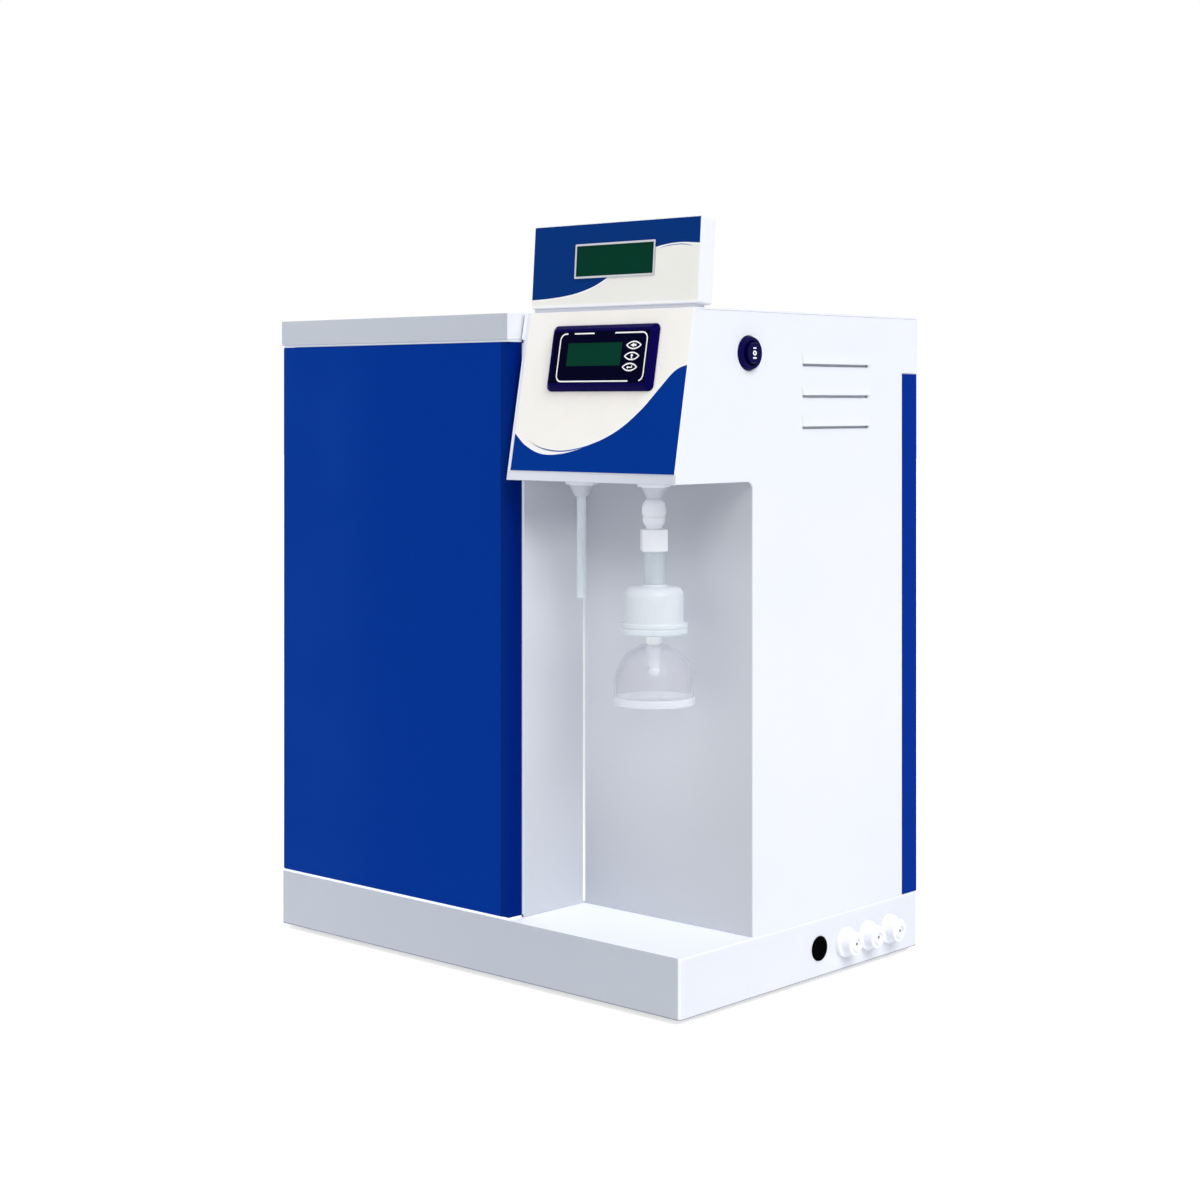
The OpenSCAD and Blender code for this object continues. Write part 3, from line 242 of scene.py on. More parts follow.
# %% Mix the powder coats
def powder_coat(name, colour, rough, sheen=0.3):
    coat = Finish(name, colour, rough, sheen)
    grime = coat.before("Z", 8, 16) * coat.clouds(0.02, 4) * 0.35
    tone = coat.blend(coat.clouds(0.06, 3), shade(colour, 0.975), shade(colour, 1.02))
    coat.tone = coat.blend(grime, tone, shade(colour, 0.72))
    coat.wear(Base_Color=coat.tone, Roughness=coat.clouds(0.03, 3) * 0.08 + (rough - 0.04))
    return coat.relief(coat.clouds(0.0016), 0.00012, 0.6)


WHITE, SKIRT_SHADE = ink(236, 239, 247), ink(192, 198, 207)
BLUE = ink(2, 53, 150)
LOW_GLOSS = 0.012
white_coat = powder_coat("white powder coat", WHITE, 0.42)
# Painted shade: the white coat is a touch darker towards the bottom, which evens out the light that the floor
# throws up onto the sides.
painted_shade_low_down = white_coat.before("Z", 116, 80) * 0.05
white_coat.tint(painted_shade_low_down, white_coat.tone, BLACK)
inner_coat = powder_coat("alcove powder coat", ink(202, 207, 216), 0.5)
grey_coat = powder_coat("grey zinc primer", ink(188, 192, 198), 0.55, 0.5)
# Painted shade: the rear cover's blue is darker than the door's, so that its side, which faces the key lamp,
# looks no brighter than the door's front.
cover_coat_with_painted_shade = powder_coat("blue coat of the rear cover", ink(2, 44, 142), 0.4, LOW_GLOSS)
print("powder coats mixed")

# %% [markdown]
# The roof and the plinth are white, and their narrow front skirts carry painted shade: a light grey, a little
# paler to the left, so the blue door stands between two grey bands. A mask switches on at the plane of the
# front.

# %% Mix the coat of the roof and the plinth
skirt_coat = powder_coat("white coat with grey front skirts", WHITE, 0.42)
past, before, blend = skirt_coat.past, skirt_coat.before, skirt_coat.blend
front = before("Y", 0.25, 0.15)
# Painted shade on the front skirts, paler to the left.
skirt_painted_shade = blend(past("X", -54, 140), shade(SKIRT_SHADE, 1.06), shade(SKIRT_SHADE, 0.99))
white_rest = blend(skirt_coat.clouds(0.06, 3), shade(WHITE, 0.98), shade(WHITE, 1.01))
# Painted shade: the plinth's right side is a touch darker, which evens out the light that the floor throws up
# onto it.
plinth_side_painted_shade = past("X", RIGHT_SIDE - 0.4, 0.2) * before("Z", 96, 10) * 0.075
painted = blend(front, blend(plinth_side_painted_shade, white_rest, BLACK), skirt_painted_shade)
# Painted shadow: a thin dark line along the lowest 0.8 mm of the coat, where the plinth stands over the
# floor.
skirt_coat.tint(before("Z", 0.8, 0.2) * 0.65, painted, ink(104, 110, 124))
# Painted light: the plinth's top inside the alcove glows faintly, so that it looks as bright as the lit
# sides.
shelf = past("Z", PLINTH_TOP - 1, 1) * before("Z", PLINTH_TOP + 20, 10)
skirt_coat.paint_light(past("X", ALCOVE_LEFT, 1) * shelf * (1 - front), ink(104, 106, 112))
print("front skirts are grey")

# %% [markdown]
# Light bounces about inside the alcove and gathers half-way up its walls, while the head shades their top.
# The coat of the alcove has both painted on: a faint glow of painted light half-way up the walls, and painted
# shade towards the top right and low down.

# %% Mix the coat of the alcove
alcove_coat = powder_coat("coat of the alcove's walls", ink(202, 207, 216), 0.5)
past, before = alcove_coat.past, alcove_coat.before
on_back = past("X", ALCOVE_LEFT + 0.6, 0.4)
indoors = past("X", ALCOVE_LEFT - 0.4, 0.2) * before("Y", ALCOVE_BACK + 0.3, 0.2)
# Painted light: the back wall and the left wall glow faintly half-way up.
back = on_back * before("X", 131, 75) * before("Z", 280, 28) * past("Z", 111, 55)
side = (1 - on_back) * before("Z", 308, 20) * (past("Z", 232, 30) * 0.75 + 0.25) * past("Z", 86, 40)
alcove_coat.paint_light((back + side) * indoors, ink(104, 104, 107))
# Painted shade: darker at the top right of the alcove and a little low down.
shaded = past("X", 106, 60) * past("Z", 300, 30) * 0.15 + before("Z", 146, 50) * 0.06
alcove_coat.tint(shaded, ink(203, 207, 214), BLACK)
print("alcove coat mixed")

# %% [markdown]
# The bare lip under the head's printed film hangs in the shade, and that shade is painted into its coat: it
# is a touch greyer, and greyer still towards the right.

# %% Mix the coat of the head
head_coat = powder_coat("white coat of the head", WHITE, 0.42)
lip = head_coat.before("Z", HEAD_FOOT + 6.3, 0.2) * head_coat.before("Y", -4.2, 0.4)
lip_painted_shade = head_coat.blend(head_coat.past("X", 126, 80), ink(224, 227, 236), ink(206, 210, 221))
head_coat.tint(lip, WHITE, lip_painted_shade)
print("the head's lip is greyer")

# %% [markdown]
# The door is a folded tray. Its folded right edge carries painted shade, a darker blue, and the front is a
# little paler towards the left.

# %% Mix the door's blue
door_coat = powder_coat("blue powder coat", BLUE, 0.4, LOW_GLOSS)
past, blend = door_coat.past, door_coat.blend
paler_left = blend(past("X", -109, 35), ink(9, 61, 156), BLUE)
broad = blend(door_coat.clouds(0.06, 3), paler_left, BLUE)
# Painted shade: the folded right edge is a darker blue.
fold = blend(past("X", 40.5, 4), ink(2, 40, 116), ink(0, 30, 114))
door_coat.tint(past("X", 35.8, 0.4), broad, fold)
print("door coat mixed")

# %% [markdown]
# ## Moulded plastics, film, glass and metal
#
# Moulded parts carry a very fine texture from the mould, and printed film is smoother. Turned
# fittings show faint rings round their axis. Zinc plate has soft blotches.

# %% Mix the plastics
def moulded(name, colour, rough, sheen=0.5, grain=0.0009, depth=0.00004, **shader):
    plastic = Finish(name, colour, rough, sheen, **shader)
    plastic.mottle(plastic.clouds(0.02, 3), rough, 0.06, 0.97, 1.03)
    return plastic.relief(plastic.clouds(grain, 3), depth, 0.5)


case_plastic = moulded("white case plastic", ink(238, 241, 248), 0.38, 0.3)
navy_plastic = moulded("navy bezel plastic", ink(8, 2, 72), 0.3, 0.02)
navy_film = moulded("navy label film", ink(1, 1, 30), 0.35, LOW_GLOSS, 0.0004, 0.00001)
key_plastic = moulded("navy key plastic", ink(1, 1, 34), 0.3, 0.02)
switch_plastic = moulded("switch plastic", ink(12, 8, 70), 0.3, 0.03)
rocker_plastic = moulded("rocker plastic", ink(6, 2, 62), 0.28, 0.04)
black_plastic = moulded("black plastic", ink(8, 8, 10), 0.5, 0.06)
gasket_foam = moulded("gasket foam", ink(236, 236, 243), 0.9, 0.5, 0.0006, 0.0003)
entry_black = moulded("black rubber of the cable entry", ink(3, 3, 4), 0.8, 0.01)
# Painted light: the two seal foams glow faintly, so the narrow gaps round the door look pale instead of dark.
seal_foam_with_painted_light = moulded("door seal foam", ink(214, 219, 228), 0.8, 0.5, 0.0006, 0.0002,
                    Emission_Color=ink(206, 212, 222), Emission_Strength=0.8)
header_foam_with_painted_light = moulded("foam over the door", ink(190, 196, 204), 0.8, 0.5, 0.0006, 0.0002,
                      Emission_Color=ink(190, 196, 204), Emission_Strength=0.5)
rubber = moulded("foot rubber", ink(30, 30, 32), 0.85, 0.5, 0.0012, 0.00015)
nylon = moulded("natural nylon", ink(236, 231, 212), 0.45)
bay_plastic = moulded("white cartridge plastic", ink(236, 239, 243), 0.36)
pipe_shadow = moulded("grey dot of a stopper", ink(128, 132, 142), 0.7, 0.02)
pipe_plastic = moulded("grey pipe plastic", ink(214, 218, 224), 0.42)
pump_paint = moulded("dark pump paint", ink(52, 56, 64), 0.5, 0.5, 0.0015, 0.0001)
PRINTS = [
    ("white ink", ink(252, 252, 255), 0.55), ("blue ink", ink(2, 54, 145), 0.45),
    ("dull blue ink", ink(8, 53, 123), 0.45), ("pinstripe ink", ink(52, 84, 160), 0.5),
    ("cream label film", ink(244, 243, 237), 0.45), ("cream film of the head", ink(251, 248, 242), 0.45)]
white_print, blue_print, dull_blue_print, pale_print, cream_film, head_film = [
    moulded(*recipe, LOW_GLOSS, 0.0005, 0.00001) for recipe in PRINTS]
print(len(bpy.data.materials), "materials so far")

# %% Mix the turned acetal
def turned_plastic(name, colour, rough, coat=0.0):
    """White plastic from the lathe, with faint rings up its length, 1.2 mm apart."""
    plastic = Finish(name, colour, rough, Coat_Weight=coat)
    plastic.mottle(plastic.clouds(0.01, 3), rough, 0.05, 0.98, 1.02)
    waves = {"Vector": plastic.where, "Scale": 0.3 / 0.0012, "Distortion": 0.6}
    rings = plastic.node("ShaderNodeTexWave", waves, bands_direction="Z")
    return plastic.relief(rings * 0.5 + plastic.clouds(0.001) * 0.5, 0.00003, 0.5)


acetal = turned_plastic("white acetal", ink(243, 245, 251), 0.4, 0.1)
# Painted shade and painted light: the outlets' acetal is a darker copy of the white acetal, as they hang in
# the head's shade, and their flange is painted lighter than the cone below it.
shaded_acetal = turned_plastic("acetal of the outlets", ink(210, 213, 221), 0.45)
flange = shaded_acetal.past("Z", HEAD_FOOT - 4.2, 0.2)
shaded_acetal.tint(flange, ink(204, 207, 216), ink(240, 244, 250))
print("acetal mixed")

# %% [markdown]
# Light goes straight through a thin milky wall and only loses strength, so a part of it is let
# through with Alpha. Two walls behind each other look denser, as real rims and edges do.

# %% Mix the clear and milky plastics
def milky(name, colour, rough, alpha, edge=0.0, glow=0.0, coat=0.0, coat_rough=0.03, cloud=0.03):
    """A plastic that light goes through, which is denser by that much where it is seen edge-on.

    It also glows a little, by the amount glow: painted light that keeps it bright in a shaded place."""
    plastic = Finish(name, colour, rough, Emission_Color=colour, Emission_Strength=glow,
                     Coat_Weight=coat, Coat_Roughness=coat_rough)
    lumps = plastic.clouds(0.012, 3)
    facing_away = plastic.node("ShaderNodeLayerWeight", {"Blend": 0.35}, "Facing")
    plastic.density = lumps * (2 * cloud) + (alpha - cloud) + facing_away * edge
    plastic.mottle(lumps, rough, 0.08, 0.97, 1.02).wear(Alpha=plastic.density)
    return plastic.relief(plastic.clouds(0.002), 0.00002, 0.4)


# The tubes, the capsule, the nozzle and the bell glow faintly: painted light that brightens them in the shade
# of the alcove.
clear_tube = milky("clear tube", ink(226, 234, 240), 0.15, 0.45, 0.5, 0.1, 0.3, 0.08)
soft_tube = milky("soft filter tube", ink(214, 222, 229), 0.18, 0.45, 0.4, 0.05, 0.3, 0.1)
frosted = milky("frosted polypropylene", ink(228, 234, 240), 0.34, 0.66, 0.2, 0.07, 0.15, 0.2)
nozzle_plastic = milky("milky nozzle plastic", ink(246, 250, 252), 0.32, 0.95, glow=0.08)
rim = nozzle_plastic.past("Z", 242.6, 0.4)
spout = nozzle_plastic.blend(nozzle_plastic.past("Z", 232, 3), ink(225, 230, 238), ink(246, 250, 252))
nozzle_plastic.tint(rim, spout, ink(226, 234, 242)).wear(Alpha=nozzle_plastic.density - rim * 0.3)
bell_plastic = milky("smoky bell plastic", ink(206, 208, 218), 0.3, 0.13, 0.26, 0.05, 0.12, cloud=0.015)
band = bell_plastic.before("Z", 200.9, 0.3)
bell_plastic.tint(band, ink(204, 204, 214), ink(240, 243, 250)).wear(Alpha=bell_plastic.density + band * 0.2)
print("milky plastics mixed")

# %% Mix the membrane, the board and the metals
def plated(name, colour, rough, stretch=(1, 1, 1)):
    """Metal with the soft blotches of zinc plate, or brushed where the noise is stretched."""
    metal = Finish(name, colour, rough, Metallic=1.0)
    blotch = metal.clouds(0.006, 4, stretch)
    return metal.mottle(blotch, rough, 0.14, 0.86, 1.1).relief(blotch, 0.00003, 0.5)


membrane = Finish("pleated membrane", ink(244, 246, 248), 0.85)
fibre = membrane.clouds(0.0006, 4, (1, 1, 0.25))
membrane.tint(fibre, ink(228, 232, 236), ink(250, 251, 252)).relief(fibre, 0.00015, 0.6)
zinc = plated("zinc plate", ink(196, 198, 202), 0.34)
silver = plated("silver frame", ink(176, 177, 184), 0.36, (0.15, 1, 1))
power_case = plated("power supply case", ink(180, 182, 186), 0.42, (0.1, 1, 1))
board_green = Finish("circuit board", ink(18, 92, 52), 0.4, Coat_Weight=0.4)
tracks = board_green.node("ShaderNodeTexBrick", {
    "Vector": board_green.where, "Color1": BLACK, "Color2": BLACK, "Mortar": (1, 1, 1, 1),
    "Scale": 90.0, "Mortar Size": 0.018}, offset=0.37, offset_frequency=3, squash=0.6)
board_green.tint(tracks, ink(16, 84, 48), ink(60, 140, 84)).relief(tracks, 0.00005)
print("metals and board mixed")

# %% [markdown]
# ## The displays
#
# A character display that is off is a dark green window with a faint field of cells. The cells
# are a grid in metres, which is turned onto the slope of each display.

# %% Mix the display windows
def lens(name, front, cell_w, cell_h):
    green = ink(3, 58, 42)
    glass = Finish(name, green, 0.12, LOW_GLOSS)
    back = front.inverted()
    flat = glass.node("ShaderNodeMapping", {
        "Vector": glass.where, "Location": back.translation, "Rotation": back.to_euler()})
    grid = glass.node("ShaderNodeTexBrick", {
        "Vector": flat, "Color1": (1, 1, 1, 1), "Color2": (0.8, 0.8, 0.8, 1), "Mortar": BLACK,
        "Scale": 1.0, "Mortar Size": cell_w * 0.08, "Mortar Smooth": 0.3,
        "Brick Width": cell_w, "Row Height": cell_h}, offset=0.0, squash=1.0)
    cells = glass.blend(grid, shade(green, 0.93), shade(green, 1.04))
    glow = glass.blend(glass.clouds(0.02), shade(green, 0.94), shade(green, 1.06))
    return glass.tint(0.5, cells, glow)


meter_lens = lens("meter window", METER, 0.0030, 0.0080)
display_lens = lens("display window", DISPLAY, 0.0045, 0.0119)
print("windows mixed")

# %% [markdown]
# ## Soft edges
#
# A real edge catches a thin line of light, and that line tells the eye how big and how solid a
# thing is. The CAD model arrives as loose triangles with sharp edges, and it must not be changed.
# So each visible node is copied, its triangles are joined, and the Bevel modifier rounds what is
# sharper than 33 degrees. Weighted normals keep the broad faces flat and the curves round.

# %% Helpers that dress a CAD node
def settle(piece, body, stands_for=()):
    """Puts a finished piece on its body and says what it stands for."""
    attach(piece, body)
    if stands_for:
        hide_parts(*stands_for)
    return piece


def loose_piece(name, form):
    """An object outside the scene, with its place in its mesh."""
    mesh = bpy.data.meshes.new(name)
    form.to_mesh(mesh)
    form.free()
    return bpy.data.objects.new(name, mesh)


def new_piece(name, form, finish):
    piece = loose_piece(name, form)
    piece.data.materials.append(finish.material)
    bpy.context.scene.collection.objects.link(piece)
    return piece


def welded(node):
    """A copy of a CAD node's loose triangles, joined at their corners and on their flat faces."""
    data, form = nodes[node].data, bmesh.new()
    corners = [form.verts.new(v.co) for v in data.vertices]
    for face in data.polygons:
        form.faces.new([corners[i] for i in face.vertices])
    bmesh.ops.remove_doubles(form, verts=form.verts, dist=2e-6)
    bmesh.ops.dissolve_degenerate(form, dist=1e-6, edges=form.edges)
    bmesh.ops.dissolve_limit(form, angle_limit=math.radians(0.4), verts=form.verts, edges=form.edges)
    return form


def baked(piece):
    """Applies the modifiers, so that the piece is a plain mesh."""
    graph = bpy.context.evaluated_depsgraph_get()
    plain = bpy.data.meshes.new_from_object(piece.evaluated_get(graph), depsgraph=graph)
    piece.modifiers.clear()
    piece.data = plain
    return piece


def evened(piece):
    """Keeps the broad faces flat in the light and the narrow curves between them round."""
    flat = piece.modifiers.new("flat", "WEIGHTED_NORMAL")
    flat.weight, flat.keep_sharp = 80, False
    return baked(piece)


def rounded(piece, edge, steps=2, angle=33):
    """Rounds the sharp edges by that many millimetres."""
    for face in piece.data.polygons:
        face.use_smooth = True
    bevel = piece.modifiers.new("edges", "BEVEL")
    bevel.width, bevel.segments = edge * MM, steps
    bevel.limit_method, bevel.angle_limit = "ANGLE", math.radians(angle)
    bevel.use_clamp_overlap, bevel.loop_slide = True, False
    return evened(piece)


def dress(node, finish, edge):
    """A copy of a CAD node with soft edges and a finish, which stands for the node."""
    piece = rounded(new_piece("dressed_" + node, welded(node), finish), edge)
    return settle(piece, nodes[node]["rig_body"], [node])


print("helpers ready")

# %% [markdown]
# ## The cabinet
#
# Each edge radius follows the sheet: a fold of thick sheet is rounder than a cut edge.

# %% Dress the sheets
SHEETS = [
    ("base_tray", skirt_coat, 0.7), ("top_cover", skirt_coat, 0.6), ("head_shell", head_coat, 0.5),
    ("right_side_panel", white_coat, 0.35), ("left_side_panel", white_coat, 0.35),
    ("alcove_liner", alcove_coat, 0.4), ("mounting_panel", grey_coat, 0.3),
    ("rear_panel", grey_coat, 0.3), ("door_liner", inner_coat, 0.3)]
for node, coat, edge in SHEETS:
    dress(node, coat, edge)
for node, coat in (("door_skin", door_coat), ("rear_cover", cover_coat_with_painted_shade)):
    dress(node, coat, 0.5)
print(len(SHEETS) + 2, "sheets dressed")

# %% [markdown]
# ## The control head
#
# The bezel, film and keys of the meter and the parts of the display keep the CAD shapes.

# %% Dress the head, the display and the switch
PANEL = [
    ("fascia_overlay", head_film, 0.12, "cream_film"), ("display_overlay", cream_film, 0.08, "cream_film"),
    ("meter_bezel", navy_plastic, 0.35, "navy_plastic"),
    ("meter_window", meter_lens, 0.15, "green_lens"), ("display_window", display_lens, 0.15, "green_lens"),
    *[(key, key_plastic, 0.25, "key_plastic") for key in ("key_up", "key_set", "key_down")],
    ("display_case", case_plastic, 0.45, "white_plastic"),
    ("display_plate", case_plastic, 0.3, "white_plastic"),
    ("display_frame", silver, 0.2, "frame_silver"), ("display_gasket", gasket_foam, 0.4, "black_plastic"),
    ("switch_body", switch_plastic, 0.35, "navy_plastic"),
    ("switch_rocker", rocker_plastic, 0.35, "navy_plastic")]
for node, finish, edge, slot in PANEL:
    dress(node, finish, edge)
print(len(PANEL), "pieces of the panel dressed")

# %% [markdown]
# ## Pieces from the lathe
#
# The fittings, the filter, the ports and the feet are round, so each is a closed outline that goes
# once round an axis. Every corner of the outline gets a small curve of its own, which is cleaner
# than a bevel on hundreds of narrow faces.

# %% Helpers for round pieces
def flowing(knots, steps=8):
    """A smooth line through a few knots: the Catmull-Rom curve."""
    knots, line = [Vector(knot) for knot in knots], []
    ends = [knots[0] * 2 - knots[1], *knots, knots[-1] * 2 - knots[-2]]
    for a, b, c, d in zip(ends, ends[1:], ends[2:], ends[3:]):
        for i in range(steps):
            t = i / steps
            line.append(0.5 * ((2 * b) + (c - a) * t + (2 * a - 5 * b + 4 * c - d) * t**2
                               + (3 * b - a - 3 * c + d) * t**3))
    return [*line, knots[-1]]


def arc(x, y, r, start, end, steps=8):
    """Points on a circle, from one angle to another in degrees."""
    turn = [math.radians(start + (end - start) * i / steps) for i in range(steps + 1)]
    return [Vector((x + r * math.cos(a), y + r * math.sin(a))) for a in turn]


def soften(outline, radius, steps=3):
    """The outline with its corners curved; points on the axis stay sharp."""
    soft, knots = [], [Vector(knot) for knot in outline]
    for before, corner, after in zip(knots[-1:] + knots, knots, knots[1:] + knots[:1]):
        back, ahead = before - corner, after - corner
        turn = math.pi - back.angle(ahead)
        if corner.x < 1e-4 or turn < math.radians(20):
            soft.append(corner)
            continue
        cut = min(radius * math.tan(turn / 2), 0.45 * back.length, 0.45 * ahead.length)
        a, b = corner + back.normalized() * cut, corner + ahead.normalized() * cut
        for t in (k / steps for k in range(steps + 1)):
            soft.append(a * (1 - t) ** 2 + corner * (2 * t * (1 - t)) + b * t * t)
    return soft


def lathe(outline, where=Matrix(), sides=72):
    """A closed solid of revolution round z, from an outline of radius and height in millimetres."""
    form, rings = bmesh.new(), []
    for r, z in outline:
        turns = [2 * math.pi * i / sides for i in range(sides)] if r > 1e-4 else [0.0]
        rings.append([form.verts.new((r * MM * math.cos(a), r * MM * math.sin(a), z * MM)) for a in turns])
    for low, high in zip(rings, rings[1:] + rings[:1]):
        for i in range(sides):
            j = (i + 1) % sides
            corners = [low[i % len(low)], low[j % len(low)], high[j % len(high)], high[i % len(high)]]
            corners = list(dict.fromkeys(corners))
            if len(corners) > 2:
                form.faces.new(corners)
    bmesh.ops.recalc_face_normals(form, faces=form.faces)
    for face in form.faces:
        face.smooth = True
    form.transform(where)
    return form


def turned(name, outline, where, finish, stands_for=(), soft=0.3, sides=72):
    """A round piece of the cabinet, turned and put in its place."""
    piece = evened(new_piece(name, lathe(soften(outline, soft), where, sides), finish))
    return settle(piece, "cabinet", stands_for)


print("lathe ready")

# %% [markdown]
# ## Pieces that repeat
#
# Outlets, ports, feet, screws and ribs repeat. A tree of Geometry Nodes says where the copies go,
# and its named inputs say how many and how far apart. Realize Instances makes the copies real and
# Set Material paints them. The result is then taken as a plain mesh.

# %% Trees of Geometry Nodes
class Recipe(Graph):
    """A Geometry Nodes tree, whose named inputs are its items."""

    def __init__(self, name, counts, measures):
        super().__init__(bpy.data.node_groups.new(name, "GeometryNodeTree"))
        face = self.tree.interface
        face.new_socket("Mesh", in_out="OUTPUT", socket_type="NodeSocketGeometry")
        self.keys, numbers = {}, {**dict.fromkeys(counts, "Int"), **dict.fromkeys(measures, "Float")}
        for size, kind in {"Part": "Object", **numbers, "Finish": "Material"}.items():
            made = face.new_socket(size, in_out="INPUT", socket_type="NodeSocket" + kind)
            self.keys[size] = made.identifier
        self.start = self.tree.nodes.new("NodeGroupInput")

    def __getitem__(self, name):
        return Wire(self, self.start.outputs[name])

    def copies(self, points, part, turn=(0, 0, 0)):
        """A copy of the part at every point."""
        return self.node("GeometryNodeInstanceOnPoints",
                         {"Points": points, "Instance": part, "Rotation": turn})

    def part(self):
        return self.node("GeometryNodeObjectInfo", {"Object": self["Part"]}, "Geometry")

    def way(self, **axes):
        """A place or a size from its measures along the axes."""
        return self.node("ShaderNodeCombineXYZ", axes)

    def done(self, geometry):
        """Makes the copies real, paints them and ends the tree."""
        real = self.node("GeometryNodeRealizeInstances", {"Geometry": geometry})
        painted = self.node("GeometryNodeSetMaterial", {"Geometry": real, "Material": self["Finish"]})
        self.feed(self.tree.nodes.new("NodeGroupOutput").inputs[0], painted)
        return self


def grown(name, recipe, finish, where=Matrix(), part=None, **sizes):
    """The plain mesh that a tree makes from its inputs, as a piece in its place."""
    piece = new_piece(name, bmesh.new(), finish)
    tree = piece.modifiers.new("recipe", "NODES")
    tree.node_group = recipe.tree
    tree[recipe.keys["Finish"]] = finish.material
    if part:
        part = loose_piece("part", part)
        tree[recipe.keys["Part"]] = part
    for size, value in sizes.items():
        tree[recipe.keys[size.replace("_", " ")]] = value
    baked(piece)
    piece.data.name = name
    piece.data.transform(where)
    if part:
        bpy.data.objects.remove(part)
    return piece


def taken_back(piece):
    """A finished piece as a bmesh again, so that it can be copied in rows."""
    form = bmesh.new()
    form.from_mesh(piece.data)
    bpy.data.objects.remove(piece)
    return form


print("trees ready")

# %% [markdown]
# One tree lays copies in rows: a grid of points with a count and a pitch each way. The other lays
# them in a ring and turns each copy to face outwards.

# %% Build the rows and the ring
def rows_recipe():
    tree = Recipe("rows of copies", ["Columns", "Rows"], ["Column Pitch", "Row Pitch"])
    wide = tree["Column Pitch"] * (tree["Columns"] - 1)
    deep = tree["Row Pitch"] * (tree["Rows"] - 1)
    across = tree.node("GeometryNodeMeshLine", {
        "Count": tree["Columns"], "Start Location": tree.way(X=wide * -0.5, Y=deep * -0.5),
        "Offset": tree.way(X=tree["Column Pitch"])})
    up = tree.node("GeometryNodeMeshLine", {"Count": tree["Rows"], "Offset": tree.way(Y=tree["Row Pitch"])})
    return tree.done(tree.copies(across, tree.copies(up, tree.part())))


def ring_recipe():
    tree = Recipe("ring of copies", ["Count"], ["Radius"])
    circle = tree.node("GeometryNodeMeshCircle", {"Vertices": tree["Count"], "Radius": tree["Radius"]})
    angle = tree.node("GeometryNodeInputIndex", {}) / tree["Count"] * (2 * math.pi)
    return tree.done(tree.copies(circle, tree.part(), tree.way(Z=angle)))


ROWS, RING = rows_recipe(), ring_recipe()


def in_rows(name, form, finish, where, stands_for, columns, pitch, rows=1, row_pitch=0):
    """Copies of a form in rows on the cabinet, with pitches in millimetres."""
    piece = grown(name, ROWS, finish, where, form, Columns=columns, Rows=rows,
                  Column_Pitch=pitch * MM, Row_Pitch=row_pitch * MM)
    return settle(evened(piece), "cabinet", stands_for)


print("rows and ring ready")

# %% [markdown]
# ## Outlets, connector and filter
#
# Two outlet fittings hang from the head. The left one holds the sample tube. The right one holds a
# push-in connector, a hexagonal nut, a soft tube, the filter capsule and a bell that keeps dust away.

# %% Turn the outlets and the connector
OUTLET = [(3.2, -12), (4.6, -12), (8.3, -4.7), (8.3, -3.7), (11.2, -3.6), (11.2, 0), (6.5, 0),
          (6.5, 13.5), (2.15, 13.5), (2.15, -3), (3.2, -3)]
between = place(sum(OUTLETS) / 2, OUTLET_Y, HEAD_FOOT)
in_rows("outlet_pair", lathe(soften(OUTLET, 0.2)), shaded_acetal, between,
        ["outlet_fittings"], 2, OUTLETS[1] - OUTLETS[0])

sleeve = flowing([(4.8, -0.02), (5.7, -0.8), (7.3, -2.6), (8.1, -5.2), (8.2, -8.1), (7.9, -11.0)], 4)
lower = flowing([(7.75, -12.0), (7.55, -14.5), (6.7, -16.8), (5.6, -18.4), (5.6, -20.2)], 4)
CONNECTOR = [(0, 8.4), (3.17, 8.4), (3.17, 0), *sleeve, (7.35, -11.2), (7.35, -11.75), *lower,
             (4.95, -20.2), (4.95, -43.1), (0, -43.1)]
CONNECTOR_Z, NUT_Z = 333.5, 298.4
turned("connector_body", CONNECTOR, at_outlet(1, CONNECTOR_Z), acetal,
       ["quick_connector"], 0.15)
NUT = [(5.8, 0), (9.5, 0), (10, 0.7), (10, 14.2), (9.5, 14.9), (5.8, 14.9)]
nut = rounded(new_piece("six_sided_nut", lathe(NUT, at_outlet(1, NUT_Z, 20), 6), acetal), 0.35, 3, 40)
settle(nut, "cabinet", ["connector_nut"])
print("outlets at", OUTLETS)

# %% Turn the tubes
def pipe(outer, bore, low, high):
    return [(bore, low), (outer, low), (outer, high), (bore, high)]


turned("sample_pipe", pipe(3.175, 2.15, -70.5, 9), at_outlet(0, CONNECTOR_Z), clear_tube,
       ["sample_tube"], 0.2)
turned("filter_inlet_pipe", pipe(6.9, 5.0, 276.3, NUT_Z), at_outlet(1, 0), soft_tube,
       ["filter_tube"])
print("tubes turned")

# %% Turn the filter capsule and its nozzle
RIM_Z = 247.6
shoulder = arc(14.1, 21.2, 6, 0, 90, 10)
COVER = [(18.5, 0.01), (22.8, 0.01), (22.8, 3), (20.4, 3), (20.1, 3.8), *shoulder, (8.6, 27.2), (8.3, 28.7),
         (4.95, 28.7), (4.95, 36.7), (2.15, 36.7), (2.15, 22.1), (18.5, 22.1)]
turned("capsule_cover", COVER, at_outlet(1, RIM_Z), frosted, ["filter_capsule"], 0.9, 96)
NOZZLE = [(2, 0), (22.8, 0), (22.8, -3.6), (22, -4.4), (18.8, -4.9), (7.3, -5.5), (5.3, -6), (5.3, -11),
          (4.7, -11), (4.7, -12.7), (5.3, -12.7), (5.1, -17.4), (4.2, -20.2), (3.9, -25.2), (3.3, -27.7),
          (4.1, -29.3), (3.9, -31.1), (2.8, -33), (2, -33)]
turned("capsule_base", NOZZLE, at_outlet(1, RIM_Z), nozzle_plastic,
       ["filter_base"], 0.9, 96)
print("capsule turned")

# %% [markdown]
# The membrane in the capsule is a sheet folded into pleats. Seen from above it is a star with many
# points, so the tree fills a star curve and pulls it up.

